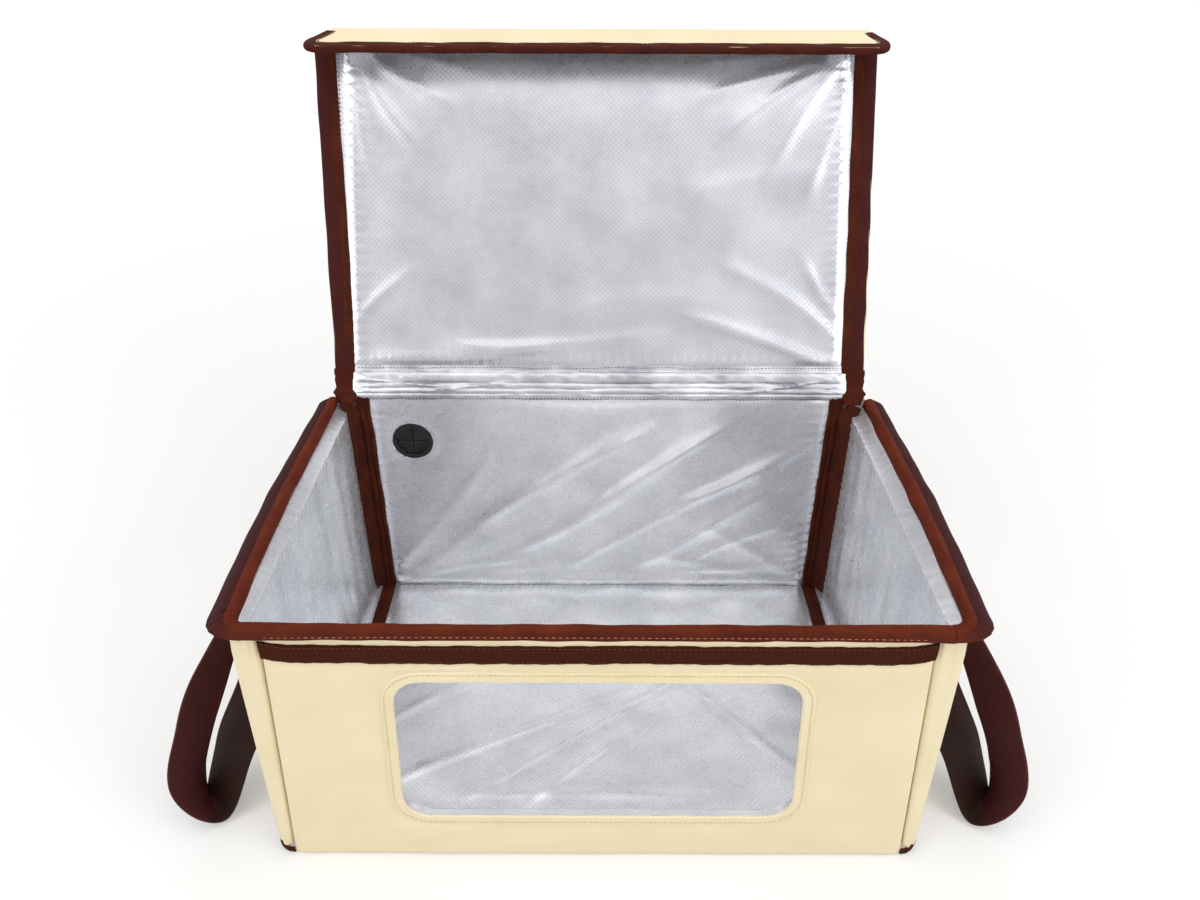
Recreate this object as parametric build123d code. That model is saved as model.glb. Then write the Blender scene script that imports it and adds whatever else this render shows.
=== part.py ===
from build123d import *
import math
import os

# Folding dough proofer: a cream fabric box with foam boards in its walls, a foil lining, bound edges,
# a clear front window, a lid that opens on a fabric spine and a loop handle on each side.
# Millimetres. X runs to the right, Y to the back, Z up. The origin is the centre of the underside.

# --- driving dimensions -------------------------------------------------------------------------
WIDTH = 450.0  # across the outer faces of the side walls
DEPTH = 294.0  # front face to back face
HEIGHT = 214.0  # table to the top of the rim

FABRIC = 1.0  # outer cloth
FOAM = 10.0  # foam board in a wall
FOIL = 1.0  # foil lining with its thin wadding
WALL = FABRIC + FOAM + FOIL

FLOOR_BOARD = 6.0
FLOOR_TOP = FABRIC + FLOOR_BOARD + FOIL
SIDE_PIVOT_Z = 11.0  # fold line of the side walls
FRONT_PIVOT_Z = 32.0  # fold line of the front wall, above the folded side walls
WALL_TOP = 203.4  # where the front board and the corner posts end inside the rim
SIDE_TOP = 203.0  # the side walls end lower, so that their tops pass under the rim corners
BACK_TOP = 213.5
FOLD_GAP = 0.6  # free gap round a wall that folds
SIDE_LOW = 0.8  # the side walls' bound lower edge hangs just clear of the table

POST_ROUND = 10.0  # rounding of a corner post
POST_SET_BACK = 1.2  # its front stands this far behind the front panel
FOOT_TOP = 6.0  # height of the dark bound foot of a post
FOOT_RADIUS = 12.6
FOOT_CENTRE = 13.0  # from the outer faces to the centre of the foot's rounding

BINDING = 1.2  # thickness of a bound tape
TAPE_ROUND = 0.8  # rounding along the edges of a flat tape
FLOOR_TAPE_X = (-207.0, -195.0)  # the left tape on the floor
BACK_TAPE_X = (-204.0, -190.0)  # and on the back wall
BACK_ROUND = 9.0  # rounding of the rear corners
EDGE_TAPE = 12.0  # width of the tape at the rear of a side wall
SEAM_ROUND = 4.0  # rounding of the sewn outer edges

FRONT_LIFT = 0.3  # free gap over the fold line
PANEL_HALF_TOP = 200.0  # half width of the front panel at WALL_TOP
PANEL_HALF_BOTTOM = 211.5  # and at the table
PANEL_GAP = 1.1  # free gap to the corner posts, as its foot lifts past them when it folds
WINDOW_TOP = 171.0
WINDOW_BOTTOM = 41.0
WINDOW_HALF_TOP = 127.0
WINDOW_HALF_BOTTOM = 133.0
WINDOW_ROUND = 20.0
TRIM_WIDTH = 7.0
FILM_SEAT = 7.0  # the film runs on this far under the cloth
FILM = 0.6
STRIP_LOW = 185.5  # loop tape on the front
STRIP_HIGH = 199.5
STRIP_RISE = 3.6  # how far its ends bend up into the corner seams

RIM_AXIS = 4.0  # from the inner faces to the centre of the rounded front corners
RIM_END_GAP = 0.5  # between a straight rim and a rim corner
RIM_INSET = 0.2  # of the rim's foot, from the wall's inner face
RIM_CORNER_STEPS = 8
# The rim's section, as (distance out from the wall's inner face, height): a rolled edge stands over
# the wall's pinched top, and a flat leg of tape flares out and down from it. (x, z, radius) of the roll.
SIDE_ROLL = (11.0, 209.9, 4.0)
SIDE_LEG = ((18.5, 210.2), (23.6, 206.9), (23.9, 205.5), (22.9, 205.1), (17.6, 208.3), (12.7, 206.6))
FRONT_ROLL = (9.5, 209.2, 3.7)
FRONT_LEG = ((12.9, 209.4), (13.4, 208.4), (13.4, 206.8), (12.9, 206.2), (12.6, 205.9), (12.4, 205.3))

LID_AXIS_Y = 138.0
LID_AXIS_Z = 215.5
LID_LEAN = 25.0  # the open lid leans this far back from upright
SPINE_LOW = 1.0  # the soft spine reaches from near the hinge line
SPINE_END = 20.0  # to here
SPINE_THICK = 1.6
SPINE_LAP = 3.0  # the side tapes run down over it
LID_REACH = 290.0  # hinge line to the lid's front edge
LID_THICK = 9.0
LID_HALF = 224.5  # half width over the bound sides
LID_TAPE = 15.0  # width of the tape down each side of the lid
LID_TAPE_STOP = 5.0  # it ends this far short of the front edge, where the flap folds

FLAP_DROOP = 35.0  # the hanging flap folds in this far past square to the lid
FLAP_DROP = 43.0  # hinge line to its free edge
FLAP_THICK = 3.2
FLAP_LINING = 0.8
FLAP_HALF_ROOT = 216.0
FLAP_HALF_EDGE = 229.0
FLAP_ROUND = 14.0
FLAP_TAPE = 10.0
FLAP_TAPE_START = 6.0  # its tape begins this far from the hinge line, to fold clear of the lid's tape
HOOK_NEAR = 16.0  # hook tape on the flap, from the flap's hinge line
HOOK_FAR = 30.0
HOOK_HALF = 185.0

GROMMET_X = -162.0
GROMMET_Z = 170.0
GROMMET_FLANGE = 36.0
GROMMET_HOLE = 31.0
GROMMET_BORE = 27.0
PETAL = 1.4
SLIT = 0.7

WEBBING_WIDTH = 38.0
WEBBING_THICK = 2.0
WEBBING_STEPS = 5  # sections between two guide points
TAB_LOW = 193.0  # the ends of the webbing are sewn flat to the wall above this height
TAB_HIGH = 203.0
TAB_Y = 55.0

INNER_X = WIDTH / 2 - WALL
INNER_Y = DEPTH / 2 - WALL
SIDE_FRONT_Y = -INNER_Y + FOLD_GAP
SIDE_REAR_Y = INNER_Y - 2.0

BOTTOM = (Align.CENTER, Align.CENTER, Align.MIN)


# --- small helpers ------------------------------------------------------------------------------
def slab(x, y, z):
    """A box between two values on each axis."""
    size = [high - low for low, high in (x, y, z)]
    middle = [(low + high) / 2 for low, high in (x, y, z)]
    return Pos(*middle) * Box(*size)


def rounded_slab(x, y, z, axis, side, radius):
    """A box whose four edges round one face are rounded; side -1 or 1 picks the face on the axis."""
    box = slab(x, y, z)
    face = box.faces().sort_by(axis)[0 if side < 0 else -1]
    return fillet(face.edges(), radius)


def grow(span, by):
    """The span with both ends moved out."""
    return span[0] - by, span[1] + by


def mirror_x(part):
    """The part on the other side of the box."""
    return mirror(part, about=Plane.YZ)


def trapezoid(half_low, half_high, low, high, radius=0.0):
    """An upright trapezoid in the XZ plane, with rounded corners."""
    corners = [(-half_low, low), (half_low, low), (half_high, high), (-half_high, high)]
    outline = make_face(Polyline([Vector(x, 0, z) for x, z in corners], close=True))
    if radius:
        outline = fillet(outline.vertices(), radius)
    return outline


def prism_y(outline, y_low, y_high):
    """An outline in the XZ plane made solid between two values of Y."""
    return extrude(Pos(0, y_low, 0) * outline, amount=y_high - y_low, dir=(0, 1, 0))


def panel_half(z):
    """Half width of the front panel at a height: its sides lean out towards the table."""
    return PANEL_HALF_BOTTOM + (PANEL_HALF_TOP - PANEL_HALF_BOTTOM) * z / WALL_TOP


def window(by, y_low, y_high):
    """The window's opening, grown by a margin."""
    face = trapezoid(
        WINDOW_HALF_BOTTOM + by, WINDOW_HALF_TOP + by, WINDOW_BOTTOM - by, WINDOW_TOP + by, WINDOW_ROUND + by
    )
    return prism_y(face, y_low, y_high)


def faceted_solid(rings):
    """A solid of flat facets through a row of closed sections, each with the same count of points."""
    faces = [make_face(Polyline(ring, close=True)).face() for ring in (rings[0], rings[-1])]
    for near, far in zip(rings, rings[1:]):
        for k in range(len(near)):
            m = (k + 1) % len(near)
            for triangle in ((near[k], far[k], near[m]), (near[m], far[k], far[m])):
                faces.append(make_face(Polyline(list(triangle), close=True)).face())
    return Solid(Shell(faces))


# --- rim ----------------------------------------------------------------------------------------
def rim_outline(roll, leg, foot):
    """Points of the rim's section: from its foot over the wall, round the roll, and down the leg."""
    x, z, radius = roll
    points = [(RIM_INSET, foot)]
    for turn in (200, 150, 110, 75, 40):
        angle = math.radians(turn)
        points.append((x + radius * math.cos(angle), z + radius * math.sin(angle)))
    return points + list(leg) + [(WALL + RIM_INSET, foot)]


def rim_straight(roll, leg, length, foot):
    """A straight length of rim along Y, centred, with the wall's inner face at X = 0."""
    section = [Vector(x, 0, z) for x, z in rim_outline(roll, leg, foot)]
    face = Pos(0, -length / 2, 0) * make_face(Polyline(section, close=True))
    return extrude(face, amount=length, dir=(0, 1, 0))


def rim_corner():
    """The rounded front left corner of the rim, which passes from the side's section to the front's."""
    foot = WALL_TOP + 0.1
    side = rim_outline(SIDE_ROLL, SIDE_LEG, foot)
    front = rim_outline(FRONT_ROLL, FRONT_LEG, foot)
    rings = []
    for step in range(RIM_CORNER_STEPS + 1):
        share = step / RIM_CORNER_STEPS
        angle = math.radians(180 + 90 * share)
        ring = []
        for (x0, z0), (x1, z1) in zip(side, front):
            out = RIM_AXIS + x0 + (x1 - x0) * share
            ring.append(
                Vector(
                    -INNER_X + RIM_AXIS + out * math.cos(angle),
                    -INNER_Y + RIM_AXIS + out * math.sin(angle),
                    z0 + (z1 - z0) * share,
                )
            )
        rings.append(ring)
    return faceted_solid(rings)


# --- base ---------------------------------------------------------------------------------------
def floor_parts():
    """The floor: cloth that runs on under the front and back walls, a board, the foil and two tapes."""
    x = (-INNER_X + FOLD_GAP, INNER_X - FOLD_GAP)
    y = (SIDE_FRONT_Y, INNER_Y)
    tape = slab(FLOOR_TAPE_X, grow(y, -FOLD_GAP), (FLOOR_TOP, FLOOR_TOP + BINDING))
    tape = fillet(tape.faces().sort_by(Axis.Z)[-1].edges().filter_by(Axis.Y), TAPE_ROUND)
    return {
        "floor_cover": slab(x, (-DEPTH / 2 + SEAM_ROUND, DEPTH / 2 - SEAM_ROUND), (0, FABRIC)),
        "floor_board": slab(x, y, (FABRIC, FABRIC + FLOOR_BOARD)),
        "floor_lining": slab(x, y, (FABRIC + FLOOR_BOARD, FLOOR_TOP)),
        "floor_binding_left": tape,
        "floor_binding_right": mirror_x(tape),
    }


def grommet_parts():
    """The rubber cable grommet: a flanged ring and four petals between two crossed slits."""
    inner_face = INNER_Y
    flange = 1.6
    edge = 0.6
    axis_place = Pos(GROMMET_X, 0, GROMMET_Z) * Rot(X=-90)
    ring = Pos(0, 0, inner_face - flange) * Cylinder(GROMMET_FLANGE / 2, flange, align=BOTTOM)
    ring = chamfer(ring.faces().sort_by(Axis.Z)[0].edges(), edge)
    ring += Pos(0, 0, inner_face) * Cylinder(GROMMET_HOLE / 2, WALL, align=BOTTOM)
    back = Pos(0, 0, DEPTH / 2) * Cylinder(GROMMET_FLANGE / 2, flange, align=BOTTOM)
    ring += chamfer(back.faces().sort_by(Axis.Z)[-1].edges(), edge)
    ring -= Pos(0, 0, inner_face - 5) * Cylinder(GROMMET_BORE / 2, WALL + 10, align=BOTTOM)
    disc = Pos(0, 0, inner_face + 0.2) * Cylinder(GROMMET_BORE / 2, PETAL, align=BOTTOM)
    disc -= Pos(0, 0, inner_face) * Box(GROMMET_BORE + 2, SLIT, 4 * PETAL)
    disc -= Pos(0, 0, inner_face) * Box(SLIT, GROMMET_BORE + 2, 4 * PETAL)
    return {"grommet_ring": axis_place * ring, "grommet_petals": axis_place * disc}


def back_parts():
    """The back wall, over the whole width, with a tape down each inner corner."""
    x = (-WIDTH / 2, WIDTH / 2)
    y = (INNER_Y, DEPTH / 2)
    z = (FABRIC, BACK_TOP)
    outer = slab(x, y, z)
    outer = fillet(outer.edges().filter_by(Axis.Z).sort_by(Axis.Y)[-2:], BACK_ROUND)
    pocket = slab(grow(x, -FABRIC), (y[0], y[1] - FABRIC), grow(z, -FABRIC))
    pocket = fillet(pocket.edges().filter_by(Axis.Z).sort_by(Axis.Y)[-2:], BACK_ROUND - FABRIC)
    foil_zone = slab((-INNER_X, INNER_X), (y[0], y[0] + FOIL), (FLOOR_TOP - FOIL, BACK_TOP - FABRIC))
    wrap = slab(grow(x, 1), (y[0] - 1, y[0] + FOIL), z) - foil_zone
    pocket -= wrap
    hole = Pos(GROMMET_X, 0, GROMMET_Z) * Rot(X=-90) * Cylinder(GROMMET_HOLE / 2, 400)
    tape = slab(BACK_TAPE_X, (y[0] - BINDING, y[0]), (FLOOR_TOP + 2 * BINDING, BACK_TOP))
    tape = fillet(tape.faces().sort_by(Axis.Y)[0].edges().filter_by(Axis.Z), TAPE_ROUND)
    return {
        "back_cover": outer - pocket - hole,
        "back_board": pocket - foil_zone - hole,
        "back_lining": foil_zone - hole,
        "back_binding_left": tape,
        "back_binding_right": mirror_x(tape),
    }


def corner_parts():
    """The soft rounded posts of the two front corners, their dark feet and the rounded rim corners."""
    y = (-DEPTH / 2 + POST_SET_BACK, -INNER_Y)
    block = slab((-WIDTH / 2, 0.0), y, (0.0, WALL_TOP))
    block = fillet(block.edges().filter_by(Axis.Z).sort_by(Axis.X)[:2].sort_by(Axis.Y)[:1], POST_ROUND)
    beside_panel = prism_y(
        trapezoid(panel_half(0) + PANEL_GAP, panel_half(WALL_TOP) + PANEL_GAP, 0, WALL_TOP), -DEPTH, 0
    )
    post = block - beside_panel
    above = slab((-WIDTH, 0), (-DEPTH, 0), (FOOT_TOP, HEIGHT))
    column = post & above
    foot = post - above
    foot = foot & (Pos(-WIDTH / 2 + FOOT_CENTRE, -DEPTH / 2 + FOOT_CENTRE, 0) * Cylinder(FOOT_RADIUS, HEIGHT))
    rim = rim_corner()
    return {
        "front_corner_left": column,
        "front_corner_right": mirror_x(column),
        "corner_foot_left": foot,
        "corner_foot_right": mirror_x(foot),
        "rim_corner_left": rim,
        "rim_corner_right": mirror_x(rim),
    }


def skirt_parts():
    """The low front skirt under the front wall's fold line."""
    top = FRONT_PIVOT_Z - FOLD_GAP
    y = (-DEPTH / 2, -INNER_Y)
    low = FABRIC
    face = trapezoid(panel_half(low), panel_half(top), low, top)
    inner_face = trapezoid(panel_half(low) - FABRIC, panel_half(top) - FABRIC, low + FABRIC, top - FABRIC)
    pocket = prism_y(inner_face, y[0] + FABRIC, y[1])
    foil = prism_y(inner_face, y[1] - FOIL, y[1])
    return {
        "front_skirt_cover": prism_y(face, *y) - pocket,
        "front_skirt_board": pocket - foil,
        "front_skirt_lining": foil,
    }


# --- walls that fold ----------------------------------------------------------------------------
def side_wall_parts():
    """The left side wall: a cloth tray with its board, foil, rim and corner tape."""
    x = (-WIDTH / 2, -INNER_X)
    y = (SIDE_FRONT_Y, SIDE_REAR_Y)
    z = (SIDE_LOW, SIDE_TOP)
    outer = rounded_slab(x, y, z, Axis.X, -1, SEAM_ROUND)
    pocket = rounded_slab(
        (x[0] + FABRIC, x[1]), grow(y, -FABRIC), grow(z, -FABRIC), Axis.X, -1, SEAM_ROUND - FABRIC
    )
    foil = slab((x[1] - FOIL, x[1]), grow(y, -FABRIC), grow(z, -FABRIC))
    rim_front = -INNER_Y + RIM_AXIS + RIM_END_GAP
    rim = rim_straight(SIDE_ROLL, SIDE_LEG, y[1] - rim_front, SIDE_TOP)
    rim = Pos(-INNER_X, (y[1] + rim_front) / 2, 0) * Rot(Z=180) * rim
    tape = slab((x[1], x[1] + BINDING), (y[1] - EDGE_TAPE, y[1]), (SIDE_PIVOT_Z, SIDE_TOP))
    tape = fillet(tape.faces().sort_by(Axis.X)[-1].edges().filter_by(Axis.Z), TAPE_ROUND)
    return {
        "wall_cover": outer - pocket,
        "wall_board": pocket - foil,
        "wall_lining": foil,
        "wall_rim": rim,
        "wall_corner_tape": tape,
    }


def loop_strip():
    """The loop tape under the front rim, whose ends bend up into the corner seams."""
    half = PANEL_HALF_TOP - 1.0
    bend = 14.0
    rise = STRIP_RISE
    low, high = STRIP_LOW, STRIP_HIGH
    edges = [
        Line((-half + bend, 0, low), (half - bend, 0, low)),
        Spline([(half - bend, 0, low), (half, 0, low + rise)], tangents=[(1, 0, 0), (1, 0, 0.7)]),
        Line((half, 0, low + rise), (half - 0.8, 0, high + rise)),
        Spline([(half - 0.8, 0, high + rise), (half - bend, 0, high)], tangents=[(-1, 0, -0.7), (-1, 0, 0)]),
        Line((half - bend, 0, high), (-half + bend, 0, high)),
        Spline([(-half + bend, 0, high), (-half + 0.8, 0, high + rise)], tangents=[(-1, 0, 0), (-1, 0, 0.7)]),
        Line((-half + 0.8, 0, high + rise), (-half, 0, low + rise)),
        Spline([(-half, 0, low + rise), (-half + bend, 0, low)], tangents=[(1, 0, -0.7), (1, 0, 0)]),
    ]
    face = make_face(edges)
    return prism_y(face, -DEPTH / 2 - BINDING, -DEPTH / 2)


def front_wall_parts():
    """The front wall above its fold line, with the clear window, its trim and the loop tape."""
    low = FRONT_PIVOT_Z + FRONT_LIFT
    y = (-DEPTH / 2, -INNER_Y)
    face = trapezoid(panel_half(low), PANEL_HALF_TOP, low, WALL_TOP)
    inner_face = trapezoid(panel_half(low) - FABRIC, PANEL_HALF_TOP - FABRIC, low + FABRIC, WALL_TOP - FABRIC)
    pocket = prism_y(inner_face, y[0] + FABRIC, y[1])
    foil = prism_y(inner_face, y[1] - FOIL, y[1])
    film_y = (y[0] + FABRIC, y[0] + FABRIC + FILM)
    trim = window(TRIM_WIDTH, y[0] - BINDING, y[0]) - window(0, y[0] - 5, y[0] + 5)
    rim_half = INNER_X - RIM_AXIS - RIM_END_GAP
    rim = Pos(0, -INNER_Y, 0) * Rot(Z=-90) * rim_straight(FRONT_ROLL, FRONT_LEG, 2 * rim_half, WALL_TOP)
    return {
        "front_cover": prism_y(face, *y) - pocket - window(0, y[0] - 5, y[1] + 5),
        "front_board": pocket - foil - window(FILM_SEAT, y[0] - 5, y[1] + 5),
        "front_lining": foil - window(FILM_SEAT, y[0] - 5, y[1] + 5),
        "window_film": window(FILM_SEAT, *film_y),
        "window_trim": trim,
        "loop_strip": loop_strip(),
        "front_rim_binding": rim,
    }


# --- lid and flap -------------------------------------------------------------------------------
# Both are drawn upright, with the hinge line on the X axis: Z runs along the lid to its front edge,
# -Y is its lined inner side. The open lid is then tipped back.
def open_lid(part):
    """A part of the lid, from its upright place to the open lid."""
    return Pos(0, LID_AXIS_Y, LID_AXIS_Z) * Rot(X=-LID_LEAN) * part


def lid_parts():
    """The lid: foil, board and cloth, a tape down each side and the soft spine at its hinge."""
    x = (-LID_HALF + BINDING, LID_HALF - BINDING)
    y = (0.0, LID_THICK)
    z = (SPINE_END, LID_REACH)
    outer = rounded_slab(x, y, z, Axis.Y, 1, SEAM_ROUND)
    pocket = rounded_slab(
        grow(x, -FABRIC), (0, LID_THICK - FABRIC), grow(z, -FABRIC), Axis.Y, 1, SEAM_ROUND - FABRIC
    )
    foil = slab(grow(x, -FABRIC), (0, FOIL), grow(z, -FABRIC))
    tape_z = (SPINE_END - SPINE_LAP, LID_REACH - LID_TAPE_STOP)
    band = slab((-LID_HALF, -LID_HALF + LID_TAPE), (-BINDING, LID_THICK + BINDING), tape_z)
    band = fillet(band.edges().filter_by(Axis.Z).sort_by(Axis.X)[:2], 1.0)
    band -= slab((-LID_HALF + BINDING, 0), (0, LID_THICK), grow(tape_z, 1))
    spine = slab((-FLAP_HALF_ROOT, FLAP_HALF_ROOT), (0, SPINE_THICK), (SPINE_LOW, SPINE_END))
    spine = fillet(spine.faces().sort_by(Axis.Z)[0].edges().filter_by(Axis.X), 0.6)
    spine -= band
    parts = {
        "lid_cover": outer - pocket,
        "lid_board": pocket - foil,
        "lid_lining": foil,
        "lid_binding_left": band,
        "lid_binding_right": mirror_x(band),
        "lid_spine": spine,
    }
    return {name: open_lid(part) for name, part in parts.items()}


def flap_outline(by):
    """The flap's outline, drawn in the XZ plane: Z is the distance from its hinge line."""
    low, high = 0.8, FLAP_DROP
    half_low, half_high = FLAP_HALF_ROOT, FLAP_HALF_EDGE
    corners = [(-half_low + by, low), (half_low - by, low), (half_high - by, high - by), (-half_high + by, high - by)]
    face = make_face(Polyline([Vector(x, 0, z) for x, z in corners], close=True))
    return fillet(face.vertices().sort_by(Axis.Z)[-2:], FLAP_ROUND - by)


def flap_parts():
    """The front flap, drawn hanging square to the lid and then folded in by its droop."""

    def leaf(by, out_low, out_high):
        """A layer of the flap; out is measured from its inner face."""
        solid = extrude(flap_outline(by), amount=out_high - out_low, dir=(0, 1, 0))
        return Pos(0, out_low, 0) * solid

    bound = leaf(0, -BINDING, FLAP_THICK + BINDING)
    within = leaf(FLAP_TAPE, -2 * BINDING, FLAP_THICK + 2 * BINDING)
    layers = leaf(BINDING, 0, FLAP_THICK)
    hook = slab((-HOOK_HALF, HOOK_HALF), (-BINDING, 0), (HOOK_NEAR, HOOK_FAR))
    root = slab((-WIDTH, WIDTH), (-LID_THICK, LID_THICK), (0, FLAP_TAPE_START))
    parts = {
        "flap_lining": leaf(BINDING, 0, FLAP_LINING),
        "flap_board": leaf(BINDING, FLAP_LINING, FLAP_THICK - FABRIC),
        "flap_cover": leaf(BINDING, FLAP_THICK - FABRIC, FLAP_THICK),
        "flap_binding": bound - within - layers - root,
        "hook_strip": hook,
    }
    # Z points down the flap: turned so that it leaves the lid square, towards the lined side.
    hanging = Pos(0, 0, LID_REACH) * Rot(X=FLAP_DROOP) * Rot(X=90)
    return {name: open_lid(hanging * part) for name, part in parts.items()}


# --- handles ------------------------------------------------------------------------------------
# The left loop as it hangs: place of the webbing's middle, and the heading of its width in degrees.
# It leaves the wall under the rim, swings out and forward to the table and runs back up behind.
HANDLE_GUIDE = [
    (-227.2, -55, 190, 90),
    (-245, -61, 155, 62),
    (-268, -75, 118, 64),
    (-283, -98, 80, 64),
    (-293, -112, 39, 74),
    (-282, -109, 4, 130),
    (-265, -88, 48, 150),
    (-249, -46, 80, 180),
    (-246.5, -3, 112, 207),
    (-237.5, 36, 148, 241),
    (-227.2, 55, 190, 270),
]


def curve_point(points, index, t):
    """A point on the smooth curve through the guide points, t of the way past one of them."""
    last = len(points) - 1
    a, b, c, d = (points[min(max(index + k, 0), last)] for k in (-1, 0, 1, 2))
    return [
        0.5 * (2 * q + (r - p) * t + (2 * p - 5 * q + 4 * r - s) * t**2 + (3 * q - p - 3 * r + s) * t**3)
        for p, q, r, s in zip(a, b, c, d)
    ]


def handle_tab(y):
    """An end of the webbing, sewn flat to the left wall."""
    span = (y - WEBBING_WIDTH / 2, y + WEBBING_WIDTH / 2)
    return slab((-WIDTH / 2 - WEBBING_THICK, -WIDTH / 2), span, (TAB_LOW, TAB_HIGH))


def section_corners(station, along):
    """The four corners of the webbing's section at a station of its path."""
    heading = math.radians(station[3])
    across = Vector(math.cos(heading), math.sin(heading), 0)
    across = (across - along * across.dot(along)).normalized()
    out = along.cross(across)
    return [
        Vector(*station[:3]) + across * (WEBBING_WIDTH / 2 * i) + out * (WEBBING_THICK / 2 * j)
        for i, j in ((1, 1), (-1, 1), (-1, -1), (1, -1))
    ]


def handle():
    """The left webbing loop, as one strip of constant width and thickness, in flat facets."""
    steps = (len(HANDLE_GUIDE) - 1) * WEBBING_STEPS
    stations = []
    for i in range(steps + 1):
        index = min(i // WEBBING_STEPS, len(HANDLE_GUIDE) - 2)
        stations.append(curve_point(HANDLE_GUIDE, index, i / WEBBING_STEPS - index))
    rings = []
    for i, station in enumerate(stations):
        if i in (0, steps):
            along = Vector(0, 0, -1 if i == 0 else 1)
        else:
            along = (Vector(*stations[i + 1][:3]) - Vector(*stations[i - 1][:3])).normalized()
        rings.append(section_corners(station, along))
    return faceted_solid(rings)


# --- assembly -----------------------------------------------------------------------------------
def all_parts():
    """Every piece of the box by name."""
    parts = {}
    for group in (floor_parts, back_parts, grommet_parts, corner_parts, skirt_parts, front_wall_parts):
        parts |= group()
    for name, part in side_wall_parts().items():
        parts[f"left_{name}"] = part
        parts[f"right_{name}"] = mirror_x(part)
    parts |= lid_parts()
    parts |= flap_parts()
    webbing = {"handle": handle(), "handle_tab_front": handle_tab(-TAB_Y), "handle_tab_rear": handle_tab(TAB_Y)}
    for name, part in webbing.items():
        parts[f"left_{name}"] = part
        parts[f"right_{name}"] = mirror_x(part)
    return parts


os.makedirs("parts", exist_ok=True)
for part_name, solid in all_parts().items():
    export_step(solid, f"parts/{part_name}.step")
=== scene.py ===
"""Looks of a folding dough proofer: cloth, foil, bindings, webbing, stitches and a pale studio."""

import logging
import math
from dataclasses import dataclass, field
from enum import Enum
from typing import Any, Callable, Sequence

import bpy
import numpy as np
from mathutils import Euler, Matrix, Vector


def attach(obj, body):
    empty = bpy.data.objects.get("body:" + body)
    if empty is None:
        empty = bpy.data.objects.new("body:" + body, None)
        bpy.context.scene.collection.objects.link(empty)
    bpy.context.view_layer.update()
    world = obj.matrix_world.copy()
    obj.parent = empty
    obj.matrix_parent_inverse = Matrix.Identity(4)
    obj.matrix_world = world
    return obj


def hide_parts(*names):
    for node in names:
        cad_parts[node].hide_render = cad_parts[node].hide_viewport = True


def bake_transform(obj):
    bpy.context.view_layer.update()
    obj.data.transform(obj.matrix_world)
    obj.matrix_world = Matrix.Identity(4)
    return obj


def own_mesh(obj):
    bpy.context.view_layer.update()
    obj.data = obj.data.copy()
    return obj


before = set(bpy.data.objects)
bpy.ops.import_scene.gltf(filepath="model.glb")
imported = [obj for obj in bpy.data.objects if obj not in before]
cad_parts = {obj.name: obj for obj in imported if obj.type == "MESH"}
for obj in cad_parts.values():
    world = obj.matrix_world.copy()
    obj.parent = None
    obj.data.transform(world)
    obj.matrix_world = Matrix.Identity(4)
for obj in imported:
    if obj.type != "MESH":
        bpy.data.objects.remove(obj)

log = logging.getLogger("dough_proofer")
Array = np.ndarray
Line = list[tuple[float, float]]

MM = 0.001  # sizes below are in millimetres
TAU = 2 * math.pi

WALL_X = 213.0  # inner faces of the side walls
WALL_Y = 135.0  # inner faces of the front and back walls
OUTER_X = 225.0
OUTER_Y = 147.0
FLOOR_Z = 8.0
RIM_FOOT = 203.0
BACK_TOP = 213.5
FRONT_FOLD = 32.0
LID_AXIS = (138.0, 215.5)
LID_LEAN = math.radians(25)
LID_REACH = 290.0
LID_THICK = 9.0
LID_GROOVE = 212.8  # where the stitches pull the lid's side tapes in
FLAP_DROOP = math.radians(35)
FLAP_DROP = 43.0
WINDOW = [(-133.0, 41.0, 20.0), (133.0, 41.0, 20.0), (127.0, 171.0, 20.0), (-127.0, 171.0, 20.0)]


class Side(Enum):
    """The two sides of the box, with the sign of their x."""

    LEFT = -1
    RIGHT = 1

    @property
    def word(self) -> str:
        """The side's name as the CAD nodes have it."""
        return self.name.lower()


# --- small helpers ---


def srgb(code: str) -> tuple[float, float, float, float]:
    """Turns an sRGB hex colour into linear RGBA.

    Args:
        code: six hex digits, with or without a leading #.

    Returns:
        Linear red, green and blue, and an alpha of one.
    """
    parts = [int(code.lstrip("#")[i : i + 2], 16) / 255 for i in (0, 2, 4)]
    red, green, blue = (p / 12.92 if p <= 0.04045 else ((p + 0.055) / 1.055) ** 2.4 for p in parts)
    return red, green, blue, 1.0


def add_node(tree: Any, kind: str, links: dict | None = None, **settings: Any) -> Any:
    """Adds a node with its settings and links.

    Args:
        tree: the node tree.
        kind: the node's type name, without ShaderNode for a shader's node.
        links: its inputs by name or number, as wire takes them.
        settings: the node's own properties.

    Returns:
        The new node.
    """
    node = tree.nodes.new(kind if "Node" in kind else f"ShaderNode{kind}")
    for key, value in settings.items():
        setattr(node, key, value)
    wire(tree, node, links or {})
    return node


def wire(tree: Any, node: Any, links: dict) -> None:
    """Sets a node's inputs by name or number: to a value, an output, or a node for its first output."""
    for key, value in links.items():
        socket = node.inputs[key]
        if isinstance(value, bpy.types.Node):
            value = value.outputs[0]
        if isinstance(value, bpy.types.NodeSocket):
            tree.links.new(value, socket)
        else:
            socket.default_value = value


def unit(vectors: Array) -> Array:
    """The vectors, each at length one."""
    return vectors / np.linalg.norm(vectors, axis=-1)[..., None]


def smooth(share: Array) -> Array:
    """Eases a share from 0 to 1 with level ends."""
    share = np.clip(share, 0, 1)
    return share * share * (3 - 2 * share)


def spaced(low: float, high: float, pitch: float) -> Array:
    """Numbers from low to high, about pitch apart."""
    return np.linspace(low, high, max(2, round(abs(high - low) / pitch) + 1))


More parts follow.
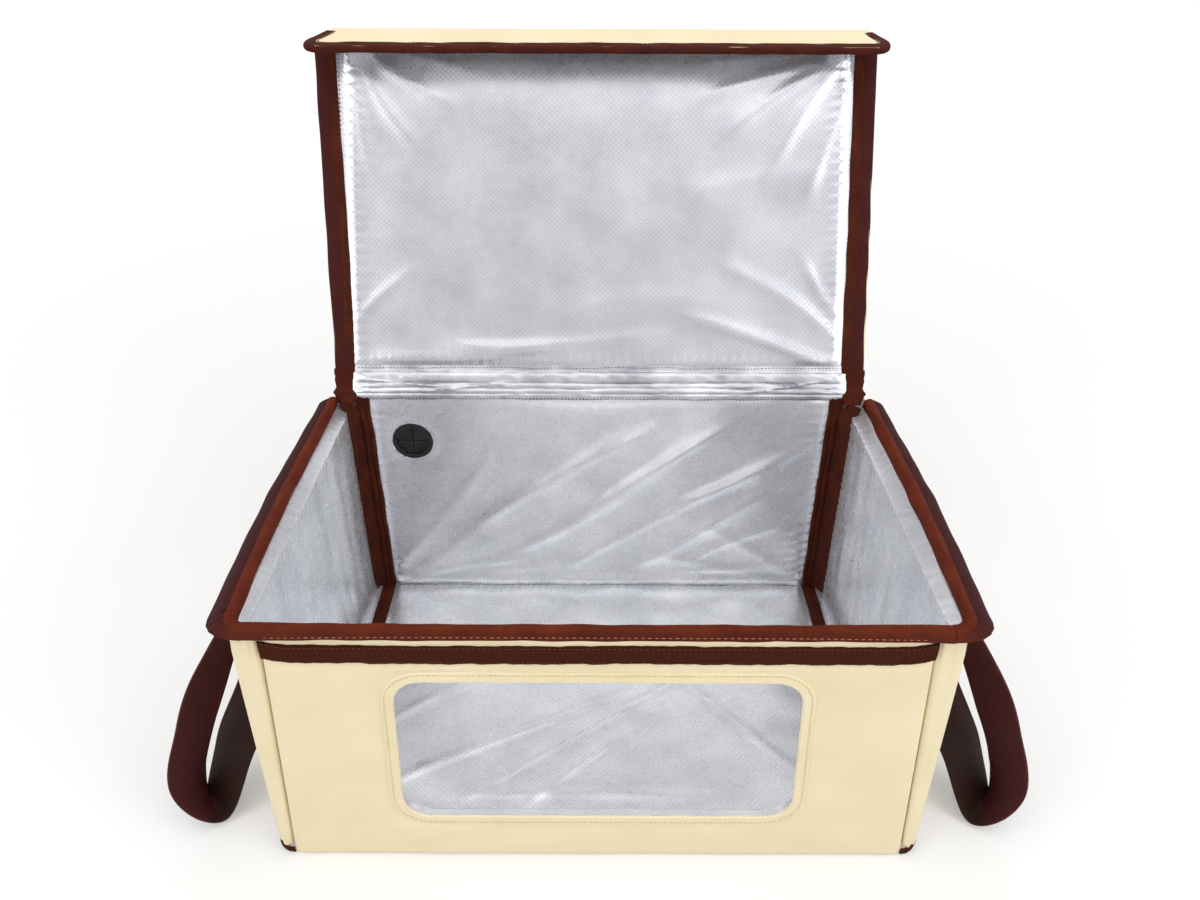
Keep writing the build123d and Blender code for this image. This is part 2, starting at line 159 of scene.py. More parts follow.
def rounded(corners: Sequence[tuple[float, float, float]], closed: bool) -> Array:
    """A line through corners, each rounded by its own radius.

    Args:
        corners: (x, y, radius) of each corner; an open line's ends have radius 0.
        closed: whether the last corner joins the first.

    Returns:
        The line's points, (count, 2).
    """
    points: list[Array] = []
    total = len(corners)
    for i, (x, y, radius) in enumerate(corners):
        here = np.array([x, y])
        if radius <= 0 or (not closed and i in (0, total - 1)):
            points.append(here)
            continue
        before = np.array(corners[i - 1][:2]) - here
        after = np.array(corners[(i + 1) % total][:2]) - here
        before /= np.linalg.norm(before)
        after /= np.linalg.norm(after)
        half = math.acos(np.clip(before @ after, -1, 1)) / 2
        middle = (before + after) / np.linalg.norm(before + after)
        centre = here + middle * radius / math.sin(half)
        sweep = math.pi / 2 - half
        for share in np.linspace(-1, 1, max(5, round(radius * sweep) + 3)):
            turn = share * sweep
            away = np.array([-middle[1], middle[0]])
            flip = 1 if away @ after > 0 else -1
            points.append(centre - radius * (middle * math.cos(turn) - flip * away * math.sin(turn)))
    return np.array(points)


def resampled(points: Array, count: int, closed: bool = False) -> Array:
    """Points at even steps along a line.

    Args:
        points: the line, (any, 2 or 3).
        count: how many points are wanted; a closed line's last one isn't repeated.
        closed: whether the line returns to its start.

    Returns:
        The new points.
    """
    line = np.vstack([points, points[:1]]) if closed else points
    run = np.concatenate([[0], np.cumsum(np.linalg.norm(np.diff(line, axis=0), axis=1))])
    at = np.linspace(0, run[-1], count, endpoint=not closed)
    return np.stack([np.interp(at, run, line[:, k]) for k in range(line.shape[1])], axis=1)


def window_grown(by: float) -> list[tuple[float, float, float]]:
    """The window's corners, moved out by a distance."""
    return [(a + math.copysign(by, a), b + math.copysign(by, b - 100), r + by) for a, b, r in WINDOW]


def quartered(outline: Array, corners: Array, counts: Sequence[int]) -> Array:
    """Points on a closed outline, split at the places nearest to four corners.

    Args:
        outline: the outline's points, (any, 2).
        corners: the four corners, in the outline's own order.
        counts: how many points each quarter gets.

    Returns:
        The new points, (sum of counts, 2).
    """
    dense = resampled(outline, 2400, closed=True)
    starts = [int(np.argmin(np.linalg.norm(dense - corner, axis=1))) for corner in corners]
    parts = []
    for i, count in enumerate(counts):
        span = (starts[(i + 1) % 4] - starts[i]) % len(dense)
        picks = (starts[i] + np.linspace(0, span, count, endpoint=False)).astype(int) % len(dense)
        parts.append(dense[picks])
    return np.vstack(parts)


@dataclass
class Profile:
    """A line in a plane, followed by its length, with a side that cloth lifts towards."""

    points: Array
    outward: int = 1

    def __post_init__(self) -> None:
        """Works out the run along the line and the normals at its points."""
        steps = np.diff(self.points, axis=0)
        self.run = np.concatenate([[0], np.cumsum(np.linalg.norm(steps, axis=1))])
        slopes = unit(np.gradient(self.points, self.run, axis=0))
        self.normals = self.outward * np.stack([slopes[:, 1], -slopes[:, 0]], axis=1)

    @property
    def length(self) -> float:
        """The line's whole length."""
        return float(self.run[-1])

    def at(self, along: Array, lift: Array) -> tuple[Array, Array]:
        """Places on the line or off it.

        Args:
            along: distances from the line's start.
            lift: distances off the line, towards its outward side.

        Returns:
            The two coordinates of each place.
        """
        spot = [np.interp(along, self.run, self.points[:, k]) for k in (0, 1)]
        away = [np.interp(along, self.run, self.normals[:, k]) for k in (0, 1)]
        return spot[0] + away[0] * lift, spot[1] + away[1] * lift


def folded(corners: Sequence[tuple[float, float, float]], outward: int) -> Profile:
    """The profile of an open line through rounded corners."""
    return Profile(rounded(corners, False), outward)


# --- relief of cloth: creases, crumples and swells ---


@dataclass(frozen=True)
class Crease:
    """A ridge pressed into a sheet, between two places in the sheet's own millimetres."""

    start: tuple[float, float]
    end: tuple[float, float]
    width: float
    height: float

    def lift(self, a: Array, b: Array) -> Array:
        """How far the crease lifts the sheet at (a, b)."""
        run = np.array(self.end) - np.array(self.start)
        length = float(np.hypot(*run))
        run = run / length
        along = ((a - self.start[0]) * run[0] + (b - self.start[1]) * run[1]) / length
        off = (b - self.start[1]) * run[0] - (a - self.start[0]) * run[1]
        off = off + self.width * 0.7 * np.sin(along * 5 + self.width)
        fade = smooth(along * 5) * smooth((1 - along) * 3)
        spread = self.width * (1 + 0.8 * np.clip(along, 0, 1))
        return self.height * fade / (1 + (off / spread) ** 2) ** 1.6


@dataclass(frozen=True)
class Crumple:
    """Flat facets between sharp folds, as thin foil takes when it is handled."""

    seed: int
    size: float
    height: float
    lean: float = 0.0
    spread: float = 1.6
    layers: int = 7

    def lift(self, a: Array, b: Array) -> Array:
        """How far the crumple lifts the sheet at (a, b)."""
        dice = np.random.default_rng(self.seed)
        total = np.zeros_like(a)
        for _ in range(self.layers):
            angle = math.radians(self.lean) + dice.normal(0, self.spread / 2)
            wave = self.size * dice.uniform(0.6, 1.9)
            cross = (b * math.cos(angle) - a * math.sin(angle)) / (wave * dice.uniform(3, 6))
            line = (a * math.cos(angle) + b * math.sin(angle)) / wave + dice.uniform(0, 1)
            line = line + 0.35 * np.sin(cross * TAU + dice.uniform(0, TAU))
            fold = 2 * np.abs(line - np.floor(line + 0.5))
            here = 0.5 + 0.5 * np.sin(cross * 2.3 + line * 0.5 + dice.uniform(0, TAU))
            total = total + fold * here
        return total * self.height / self.layers


@dataclass(frozen=True)
class Swell:
    """Soft uneven waves of slack cloth."""

    seed: int
    size: float
    height: float
    stretch: float = 1.0
    layers: int = 6

    def lift(self, a: Array, b: Array) -> Array:
        """How far the waves lift the sheet at (a, b); stretch draws them out along b."""
        dice = np.random.default_rng(self.seed)
        total = np.zeros_like(a)
        for _ in range(self.layers):
            angle = dice.uniform(0, TAU)
            wave = self.size * dice.uniform(0.6, 1.6)
            line = (a * math.cos(angle) + b / self.stretch * math.sin(angle)) / wave
            total = total + 0.5 + 0.5 * np.sin(line * TAU + dice.uniform(0, TAU))
        return total * self.height / self.layers


@dataclass(frozen=True)
class Roll:
    """A rounded fold along the sheet, between two heights of b, with gathers across it."""

    low: float
    high: float
    height: float
    seed: int = 1

    def lift(self, a: Array, b: Array) -> Array:
        """How far the fold lifts the sheet at (a, b)."""
        dice = np.random.default_rng(self.seed)
        sway = sum(np.sin(a / dice.uniform(9, 40) + dice.uniform(0, TAU)) for _ in range(5)) / 5
        share = (b - self.low - 0.5 * sway) / (self.high - self.low)
        hump = np.sqrt(np.clip(1 - (2 * share - 1) ** 2, 0, 1))
        gather = np.sin(a / 3.1 + 2.2 * sway + share * 2) * np.sin(a / 17 + 3 * sway)
        return hump * self.height * (0.85 + 0.25 * sway + 0.12 * gather)


@dataclass(frozen=True)
class Puckers:
    """Short gathers along one straight seam, where the stitching draws the cloth in."""

    seam: float
    across_b: bool
    reach: float
    height: float
    pitch: float = 9.0
    seed: int = 3

    def lift(self, a: Array, b: Array) -> Array:
        """How far the gathers lift the sheet at (a, b)."""
        dice = np.random.default_rng(self.seed)
        along, off = (a, b) if self.across_b else (b, a)
        off = np.abs(off - self.seam)
        shift = sum(np.sin(along / dice.uniform(14, 60) + dice.uniform(0, TAU)) for _ in range(4))
        wave = np.sin(TAU * along / self.pitch + 1.3 * shift + off / self.reach * 1.2)
        return self.height * (0.5 + 0.5 * wave) * np.exp(-((off / self.reach) ** 2))


@dataclass(frozen=True)
class Halo:
    """The raised ring of lining round the grommet."""

    centre: tuple[float, float]
    radius: float
    width: float
    height: float

    def lift(self, a: Array, b: Array) -> Array:
        """How far the ring lifts the sheet at (a, b)."""
        far = np.hypot(a - self.centre[0], b - self.centre[1])
        return self.height * np.exp(-(((far - self.radius) / self.width) ** 2))


Relief = Crease | Crumple | Swell | Roll | Puckers | Halo


def fan(
    corner: tuple[float, float], reach: tuple[float, float], rays: Sequence[tuple[float, float, float]]
) -> list[Crease]:
    """Creases that spread from a corner, as far as reach; each has an angle, a width and a height."""
    return [
        Crease(corner, (corner[0] + reach[0] * math.cos(t), corner[1] + reach[1] * math.sin(t)), width, height)
        for t, width, height in rays
    ]


def relief_of(parts: Sequence[Relief], a: Array, b: Array) -> Array:
    """Adds up the lift of several reliefs."""
    return sum((part.lift(a, b) for part in parts), np.zeros_like(a))


def pressed(a: Array, b: Array, bands: Sequence[tuple[int, float, float]]) -> Array:
    """A share that is 0 where a tape lies on the sheet and 1 just beside it.

    Args:
        a: first coordinates.
        b: second coordinates.
        bands: each tape's direction, 0 across a and 1 across b, and where it starts and ends.

    Returns:
        The share at each place.
    """
    share = np.ones_like(a)
    for axis, low, high in bands:
        spot = (a, b)[axis]
        share = share * smooth(np.maximum(low - spot, spot - high) / 3.0)
    return share


def held_at(a: Array, b: Array, span: Line, reach: float) -> Array:
    """A share that is 0 at the sheet's four edges and 1 from reach inwards.

    Args:
        a: first coordinates.
        b: second coordinates.
        span: the lowest and highest of a, and of b.
        reach: how far the edges hold the cloth down.

    Returns:
        The share at each place.
    """
    (a0, a1), (b0, b1) = span
    near = np.minimum(np.minimum(a - a0, a1 - a), np.minimum(b - b0, b1 - b))
    return smooth(near / reach)


# --- meshes from rows of sections ---


def closed_sheet(front: Array, back: Array) -> Array:
    """Joins two grids of a sheet's faces into closed sections, (rows, 2 * columns, 3)."""
    return np.concatenate([front, back[:, ::-1]], axis=1)


def both_faces(place: Callable, lift: Array, thick: float = 1.0) -> Array:
    """Closed sections of a sheet, from what places it at a lift: its face lifted, its back level."""
    return closed_sheet(place(lift), place(lift * 0 - thick))


def both_ways(values: Array) -> Array:
    """Values across a sheet, the same on its back as on its face."""
    return np.concatenate([values, values[::-1]])


def points_at(x: Array | float, y: Array | float, z: Array | float) -> Array:
    """Joins three coordinates, each an array or one number for all, into points."""
    return np.stack(np.broadcast_arrays(x, y, z), -1)


def headings(line: Array) -> Array:
    """The direction of travel at each point of a line, of length one."""
    return unit(np.gradient(line, axis=0))


def uneven(rings: Array, seed: int, amount: float, wave: float) -> Array:
    """Moves a strip's sections a little, so that it lies softly.

    Args:
        rings: closed sections, (rows, columns, 3).
        seed: the seed of the waves.
        amount: how far a point moves at most, roughly.
        wave: the waves' usual length.

    Returns:
        The moved sections.
    """
    dice = np.random.default_rng(seed)
    steps = np.linalg.norm(np.diff(rings.mean(axis=1), axis=0), axis=1)
    run = np.concatenate([[0], np.cumsum(steps)])[:, None, None]
    around = np.arange(rings.shape[1])[None, :, None] / rings.shape[1]
    sway = np.zeros_like(rings)
    for _ in range(5):
        size = wave * dice.uniform(0.4, 2.0)
        turn = dice.uniform(0, TAU, 3)
        drift = dice.integers(0, 3) * TAU * around
        sway = sway + np.sin(run / size * TAU + turn[None, None, :] + drift)
    return rings + sway * amount / 5


def in_scene(name: str, data: Any) -> bpy.types.Object:
    """A new object in the scene, at the origin."""
    made = bpy.data.objects.new(name, data)
    bpy.context.scene.collection.objects.link(made)
    return made


def evaluated(piece: bpy.types.Object) -> bpy.types.Mesh:
    """The plain mesh that a piece's modifiers make."""
    return bpy.data.meshes.new_from_object(piece.evaluated_get(bpy.context.evaluated_depsgraph_get()))


def mesh_of(name: str, rings: Array, loop: bool, marks: dict[str, Array] | None) -> bpy.types.Object:
    """Makes an object from rows of closed sections.

    Args:
        name: the object's name.
        rings: the sections in millimetres, (rows, columns, 3), columns even.
        loop: whether the last row joins the first; otherwise both ends are closed.
        marks: values for each point, (rows, columns), kept as named attributes.

    Returns:
        The object, at the origin, with its faces outwards and a UV map in metres.
    """
    rows, columns = rings.shape[:2]
    i, j = np.meshgrid(np.arange(rows if loop else rows - 1), np.arange(columns), indexing="ij")
    k, m = (i + 1) % rows, (j + 1) % columns
    quads = np.stack([i * columns + j, k * columns + j, k * columns + m, i * columns + m], -1)
    run = np.linalg.norm(np.diff(np.vstack([rings, rings[:1]]), axis=0), axis=2).mean(axis=1)
    along = np.concatenate([[0], np.cumsum(run)])
    steps = np.linalg.norm(np.roll(rings, -1, axis=1) - rings, axis=2).mean(axis=0)
    around = np.concatenate([[0], np.cumsum(steps)])
    corners = ((0, 0), (1, 0), (1, 1), (0, 1))
    spots = np.stack([np.stack([along[i + p], around[j + q]], -1) for p, q in corners], axis=-2)
    quads, spots = quads.reshape(-1, 4), spots.reshape(-1, 4, 2)
    if not loop:
        caps, places = [], []
        for row, flip in ((0, 1), (rows - 1, -1)):
            for s in range(columns // 2 - 1):
                cap = [s, s + 1, columns - 2 - s, columns - 1 - s][::flip]
                caps.append([row * columns + c for c in cap])
                places.append([(along[row], around[min(c, columns - 1 - c)]) for c in cap])
        quads = np.vstack([quads, np.array(caps)])
        spots = np.concatenate([spots, np.array(places)])
    points = rings.reshape(-1, 3) * MM
    corners = points[quads]
    volume = 0.0
    for p, q, r in ((0, 1, 2), (0, 2, 3)):
        volume += np.einsum("ij,ij->", corners[:, p], np.cross(corners[:, q], corners[:, r]))
    if volume < 0:
        quads, spots = quads[:, ::-1], spots[:, ::-1]
    mesh = bpy.data.meshes.new(name)
    mesh.from_pydata(points.tolist(), [], quads.tolist())
    layer = mesh.uv_layers.new(name="UVMap")
    layer.data.foreach_set("uv", (spots * MM).astype(np.float32).ravel())
    for mark, values in (marks or {}).items():
        mesh.attributes.new(mark, "FLOAT", "POINT").data.foreach_set(
            "value", np.broadcast_to(values, (rows, columns)).astype(np.float32).ravel()
        )
    mesh.shade_smooth()
    mesh.set_sharp_from_angle(angle=math.radians(55))
    return in_scene(name, mesh)


def swept(path: Array, side: Array | Sequence[float], lift: Array | Sequence[float], section: Array) -> Array:
    """Lays a flat section along a path.

    Args:
        path: the path's points, (rows, 3).
        side: the section's first direction at each point, or one for all.
        lift: the section's second direction at each point, or one for all.
        section: the section's points, (columns, 2).

    Returns:
        Closed sections, (rows, columns, 3).
    """
    side = np.broadcast_to(side, path.shape)[:, None, :]
    lift = np.broadcast_to(lift, path.shape)[:, None, :]
    return path[:, None, :] + side * section[None, :, :1] + lift * section[None, :, 1:]


def tape_section(width: float, thick: float, ridges: Sequence[tuple[float, float]] = ()) -> Array:
    """The section of a sewn tape that lies flat, its top softly crowned.

    Args:
        width: the tape's width, from 0 to this along the first coordinate.
        thick: its thickness.
        ridges: (place, height) of lengthwise ridges or, below 0, of grooves.

    Returns:
        A closed section with as many points on top as below.
    """
    a = np.concatenate([[0, 0.12, 0.45], spaced(1.0, width - 1.0, 0.8), width - np.array([0.45, 0.12, 0])])
    edge = np.minimum(a, width - a)
    top = thick * (0.25 + 0.75 * np.sqrt(np.clip(1 - (1 - np.clip(edge / 0.9, 0, 1)) ** 2, 0, 1)))
    for place, height in ridges:
        top = top + height * np.exp(-(((a - place) / 0.55) ** 2))
    low = np.zeros_like(a)
    return np.vstack([np.stack([a, top], 1), np.stack([a, low], 1)[::-1]])


def on_lid(x: Array, out: Array, up: Array) -> Array:
    """Places on the leaning lid.

    Args:
        x: across the lid.
        out: off the lid's inner face, towards its outer face.
        up: from the hinge line along the lid.

    Returns:
        The points, with a last axis of three.
    """
    x, out, up = np.broadcast_arrays(x, out, up)
    cos, sin = math.cos(LID_LEAN), math.sin(LID_LEAN)
    return np.stack([x, LID_AXIS[0] + cos * out + sin * up, LID_AXIS[1] - sin * out + cos * up], -1)


def flap_to_lid(thick: Array, down: Array) -> tuple[Array, Array]:
    """Turns the flap's own (thickness, distance from its hinge) into the lid's (out, up)."""
    cos, sin = math.cos(FLAP_DROOP), math.sin(FLAP_DROOP)
    return -down * cos - thick * sin, LID_REACH - down * sin + thick * cos


def eared(x: Array, down: Array | float) -> Array:
    """Draws the flap's left corner out a little, as its soft tape hangs."""
    share = np.clip(np.asarray(down, float) / FLAP_DROP, 0, 1)
    return x - 7.5 * smooth((-np.asarray(x, float) - 185) / 45) * share


def on_flap(x: Array, thick: Array, down: Array) -> Array:
    """Places on the hanging flap, from its own thickness and distance from its hinge."""
    out, up = flap_to_lid(np.asarray(thick, float), np.asarray(down, float))
    return on_lid(eared(x, down), out, up)


# --- finishes ---


@dataclass(frozen=True)
class Finish:
    """A surface finish, made once as a node material."""

    name: str
    slot: str
    colour: str

    def material(self) -> bpy.types.Material:
        """Makes the material, or finds the one made before."""
        found = bpy.data.materials.get(self.name)
        if found:
            return found
        made = bpy.data.materials.new(self.name)
        made.use_nodes = True
        tree = made.node_tree
        tree.nodes.clear()
        shader = add_node(tree, "BsdfPrincipled", {"Base Color": srgb(self.colour)})
        add_node(tree, "OutputMaterial", {"Surface": shader})
        self.pattern(tree, shader)
        return made

    def pattern(self, tree: Any, shader: Any) -> None:
        """Adds the finish's own nodes to the shader; each finish has its own."""

    def cover(self, piece: bpy.types.Object) -> None:
        """Gives the finish to a piece, in place of any it has."""
        piece.data.materials.clear()
        piece.data.materials.append(self.material())


def threads(tree: Any, spot: Any, pitch_mm: float) -> Any:
    """A ridge that repeats every pitch along a coordinate in metres; returns its last node."""
    turned = add_node(tree, "Math", {0: spot, 1: TAU / (pitch_mm * MM)}, operation="MULTIPLY")
    return add_node(tree, "Math", {0: turned}, operation="SINE")


def uv_axes(tree: Any) -> tuple[Any, Any, Any]:
    """The piece's UV map in metres: the whole vector, and its run along and around."""
    uv = add_node(tree, "UVMap", uv_map="UVMap")
    split = add_node(tree, "SeparateXYZ", {0: uv})
    return uv, split.outputs[0], split.outputs[1]


@dataclass(frozen=True)
class CoatedOxford(Finish):
    """Polyester oxford cloth with a coated back: a smooth plain weave, matt with a faint sheen."""

    shade: str = "#E5D5AD"

    def pattern(self, tree: Any, shader: Any) -> None:
        """Plain weave, slight mottling and a soft sheen."""
        uv, along, around = uv_axes(tree)
        # the real threads lie 0.45 mm apart; drawn at 1.1 mm so that a render can show them
        warp, weft = threads(tree, along, 1.1), threads(tree, around, 1.1)
        weave = add_node(tree, "Math", {0: warp, 1: weft}, operation="MULTIPLY")
        cloudy = add_node(tree, "TexNoise", {"Vector": uv, "Scale": 1000 / 60, "Detail": 4})
        slub = add_node(tree, "TexNoise", {"Vector": uv, "Scale": 1000 / 2.2, "Detail": 3, "Roughness": 0.7})
        share = add_node(tree, "MapRange", {0: cloudy, 1: 0.35, 2: 0.7, 4: 0.75})
        soft = add_node(tree, "Bump", {"Height": slub, "Distance": 0.12 * MM, "Strength": 0.5})
        tone = add_node(tree, "Mix", {0: share, 6: srgb(self.colour), 7: srgb(self.shade)}, data_type="RGBA").outputs[2]
        wire(tree, shader, {
            "Base Color": tone,
            "Normal": add_node(tree, "Bump", {"Height": weave, "Distance": 0.05 * MM, "Strength": 0.5, "Normal": soft}),
            "Roughness": 0.72, "Sheen Weight": 0.12, "Sheen Roughness": 0.5, "Specular IOR Level": 0.35,
        })


@dataclass(frozen=True)
class FoilLining(Finish):
    """Aluminised film on thin wadding: a bright soft metal that is finely crinkled all over."""

    shade: str = "#DADBE0"
    dots: float = 0.0

    def pattern(self, tree: Any, shader: Any) -> None:
        """Crinkles of three sizes, embossed dots with painted shade and highlights, and painted light and shade by
        place from the turned mark: lighter at the lid's top, darker on the slopes under the side rims.
        """
        uv, along, around = uv_axes(tree)
        broad = add_node(tree, "TexNoise", {"Vector": uv, "Scale": 1000 / 45, "Detail": 3})
        medium = add_node(tree, "TexNoise", {"Vector": uv, "Scale": 1000 / 9})
        # the real film's finest crinkles are under 1 mm; drawn at 3 mm, so that a render has no specks
        fine = add_node(tree, "TexNoise", {"Vector": uv, "Scale": 1000 / 3.0, "Detail": 1})
        share = add_node(tree, "MapRange", {0: broad, 1: 0.3, 2: 0.7})
        tone = add_node(tree, "Mix", {0: share, 6: srgb(self.colour), 7: srgb(self.shade)}, data_type="RGBA").outputs[2]
        # painted light and shade: the turned mark below 0 lightens the foil, above 0 darkens it
        mark = add_node(tree, "Attribute", attribute_name="turned").outputs["Fac"]
        dark = add_node(tree, "MapRange", {0: mark, 1: -1, 2: 1, 3: 1.38, 4: 0.62})
        normal = add_node(tree, "Bump", {"Height": medium, "Distance": 0.35 * MM, "Strength": 0.12})
        normal = add_node(tree, "Bump", {"Height": fine, "Distance": 0.04 * MM, "Strength": 0.1, "Normal": normal})
        if self.dots:
            # diagonal rows of embossed dots, about 3 mm apart as in the photograph
            lines, columns = threads(tree, along, 4.2), threads(tree, around, 4.2)
            grid = add_node(tree, "Math", {0: lines, 1: columns}, operation="MULTIPLY")
            embossed = {"Height": grid, "Distance": self.dots * MM, "Strength": 0.3, "Normal": normal}
            normal = add_node(tree, "Bump", embossed)
            # painted shade and highlight on the dots: darker in their hollows, lighter on their crests
            spots = add_node(tree, "MapRange", {0: grid, 1: -1, 2: 1, 3: 0.9, 4: 1.06})
            dark = add_node(tree, "Math", {0: dark, 1: spots}, operation="MULTIPLY")
        rough = add_node(tree, "MapRange", {0: medium, 1: 0.3, 2: 0.7, 3: 0.25, 4: 0.31})
        toned = add_node(tree, "VectorMath", {0: tone, "Scale": dark}, operation="SCALE")
        wire(tree, shader, {"Base Color": toned, "Normal": normal, "Roughness": rough, "Metallic": 0.7})


@dataclass(frozen=True)
class BindingTape(Finish):
    """Woven polyester binding tape: fine ribs across it, a little fuzzy, with painted highlights on its rib crests and
    painted shade on its outer leg and turned edges.
    """

    shade: str = "#8A3A1C"
    # the colour of the painted shade on the tape's outer leg and turned edges
    outside: str = "#3B1618"

    def pattern(self, tree: Any, shader: Any) -> None:
        """Slanted ribs, flecks, painted highlights on the rib crests, and painted shade: the darker outside colour
        where the outside mark says so.
        """
        uv, along, around = uv_axes(tree)
        # ribs 0.8 mm apart in the real tape; drawn at 1.3 mm to show in a render
        rise = add_node(tree, "Math", {0: around, 1: 0.55}, operation="MULTIPLY")
        slant = add_node(tree, "Math", {0: along, 1: rise}, operation="ADD")
        ribs = threads(tree, slant, 1.3)
        fleck = add_node(tree, "TexNoise", {"Vector": uv, "Scale": 1000 / 1.3, "Detail": 4, "Roughness": 0.75})
        cloudy = add_node(tree, "TexNoise", {"Vector": uv, "Scale": 1000 / 22, "Detail": 3})
        flecks = add_node(tree, "MapRange", {0: fleck, 1: 0.3, 2: 0.75, 4: 0.5})
        # painted highlight: the rib crests lean towards the lighter second colour, the hollows towards the darker
        rib_highlight = add_node(tree, "Math", {0: ribs, 1: 0.12}, operation="MULTIPLY")
        faded = add_node(tree, "MapRange", {0: cloudy, 1: 0.35, 2: 0.7, 3: -0.15, 4: 0.3})
        mix = add_node(tree, "Math", {0: flecks, 1: rib_highlight}, operation="ADD")
        mix = add_node(tree, "Math", {0: mix, 1: faded}, operation="ADD")
        rust = add_node(tree, "Mix", {0: mix, 6: srgb(self.colour), 7: srgb(self.shade)}, data_type="RGBA").outputs[2]
        fuzz = add_node(tree, "Bump", {"Height": fleck, "Distance": 0.25 * MM, "Strength": 0.6})
        # painted shade: the outside mark turns the tape to the darker outside colour where it faces away from the light
        mark = add_node(tree, "Attribute", attribute_name="outside").outputs["Fac"]
        tone = add_node(tree, "Mix", {0: mark, 6: rust, 7: srgb(self.outside)}, data_type="RGBA").outputs[2]
        wire(tree, shader, {
            "Base Color": tone,
            "Normal": add_node(tree, "Bump", {"Height": ribs, "Distance": 0.12 * MM, "Strength": 0.7, "Normal": fuzz}),
            "Roughness": 0.75, "Specular IOR Level": 0.12,
        })


@dataclass(frozen=True)
class RibbedWebbing(Finish):
    """Polypropylene webbing: smooth lengthwise ribs with a dull shine, plum, with painted shade that turns its rear leg
    a near brown.
    """

    # the darker brown: painted shade on the strap's rear leg
    shade: str = "#2E1710"

    def pattern(self, tree: Any, shader: Any) -> None:
        """Lengthwise ribs with short cross threads, painted highlights on the rib crests, and painted shade: the rear
        mark turns plum to brown.
        """
        uv, along, around = uv_axes(tree)
        # ribs 1.3 mm apart, about 28 across the strap, as in the photograph
        ribs = threads(tree, around, 1.35)
        picks = threads(tree, along, 1.0)
        fleck = add_node(tree, "TexNoise", {"Vector": uv, "Scale": 1000 / 3.0, "Detail": 3, "Roughness": 0.7})
        # painted shade: the rear mark turns the strap from plum to the darker brown
        mark = add_node(tree, "Attribute", attribute_name="rear").outputs["Fac"]
        coloured = add_node(tree, "Mix", {0: mark, 6: srgb(self.colour), 7: srgb(self.shade)}, data_type="RGBA").outputs[2]
        # painted highlight: rib crests lighter and their hollows darker; the dust flecks are the webbing's own
        crest = add_node(tree, "MapRange", {0: ribs, 1: -1, 2: 1, 3: 0.72, 4: 1.3})
        dust = add_node(tree, "MapRange", {0: fleck, 1: 0.3, 2: 0.7, 3: 0.85, 4: 1.15})
        lit = add_node(tree, "Math", {0: crest, 1: dust}, operation="MULTIPLY")
        knit = add_node(tree, "Math", {0: picks, 1: ribs}, operation="MULTIPLY")
        low = add_node(tree, "Bump", {"Height": knit, "Distance": 0.06 * MM, "Strength": 0.5})
        wire(tree, shader, {
            "Base Color": add_node(tree, "VectorMath", {0: coloured, "Scale": lit}, operation="SCALE"),
            "Normal": add_node(tree, "Bump", {"Height": ribs, "Distance": 0.25 * MM, "Strength": 0.9, "Normal": low}),
            "Roughness": 0.6, "Specular IOR Level": 0.2,
        })


@dataclass(frozen=True)
class LoopPile(Finish):
    """The loop half of a hook-and-loop tape: a dense dull nap of tiny loops."""

    shade: str = "#532412"

    def pattern(self, tree: Any, shader: Any) -> None:
        """Nap in clumps of about a millimetre."""
        uv, _, _ = uv_axes(tree)
        nap = add_node(tree, "TexNoise", {"Vector": uv, "Scale": 1000 / 1.1, "Detail": 5, "Roughness": 0.8})
        clump = add_node(tree, "TexNoise", {"Vector": uv, "Scale": 1000 / 6, "Detail": 3})
        clumps = add_node(tree, "MapRange", {0: clump, 1: 0.4, 2: 0.7, 4: 0.2})
        naps = add_node(tree, "MapRange", {0: nap, 1: 0.35, 2: 0.75, 4: 0.8})
        mix = add_node(tree, "Math", {0: naps, 1: clumps}, operation="ADD")
        tone = add_node(tree, "Mix", {0: mix, 6: srgb(self.colour), 7: srgb(self.shade)}, data_type="RGBA").outputs[2]
        wire(tree, shader, {
            "Base Color": tone,
            "Normal": add_node(tree, "Bump", {"Height": nap, "Distance": 0.5 * MM, "Strength": 0.9}),
            "Roughness": 0.9, "Specular IOR Level": 0.1,
        })


@dataclass(frozen=True)
class ClearFilm(Finish):
    """Clear soft vinyl film: glossy, very slightly hazy, with slow waves that bend its highlights."""

    haze: float = 0.04

    def pattern(self, tree: Any, shader: Any) -> None:
        """Slow waves, low opacity."""
        uv, _, _ = uv_axes(tree)
        waves = add_node(tree, "TexNoise", {"Vector": uv, "Scale": 1000 / 50})
        bent = add_node(tree, "Bump", {"Height": waves, "Distance": 2.0 * MM, "Strength": 0.5})
        wire(tree, shader, {"Normal": bent, "Roughness": 0.12, "Specular IOR Level": 0.3, "Alpha": self.haze})


@dataclass(frozen=True)
class MouldedRubber(Finish):
    """Moulded black rubber: almost matt, with a fine cast grain and a dusty bloom on its edges."""

    shade: str = "#1C1C1E"

    def pattern(self, tree: Any, shader: Any) -> None:
        """Cast grain and a faint bloom, on object coordinates since CAD nodes have no UV map."""
        spot = add_node(tree, "TexCoord").outputs["Object"]
        grain = add_node(tree, "TexNoise", {"Vector": spot, "Scale": 1000 / 0.7, "Detail": 3, "Roughness": 0.6})
        bloom = add_node(tree, "TexNoise", {"Vector": spot, "Scale": 1000 / 8, "Detail": 3})
        share = add_node(tree, "MapRange", {0: bloom, 1: 0.35, 2: 0.7, 4: 0.8})
        tone = add_node(tree, "Mix", {0: share, 6: srgb(self.colour), 7: srgb(self.shade)}, data_type="RGBA").outputs[2]
        wire(tree, shader, {
            "Base Color": tone,
            "Roughness": add_node(tree, "MapRange", {0: bloom, 1: 0.3, 2: 0.7, 3: 0.42, 4: 0.58}),
            "Normal": add_node(tree, "Bump", {"Height": grain, "Distance": 0.06 * MM, "Strength": 0.6}),
        })


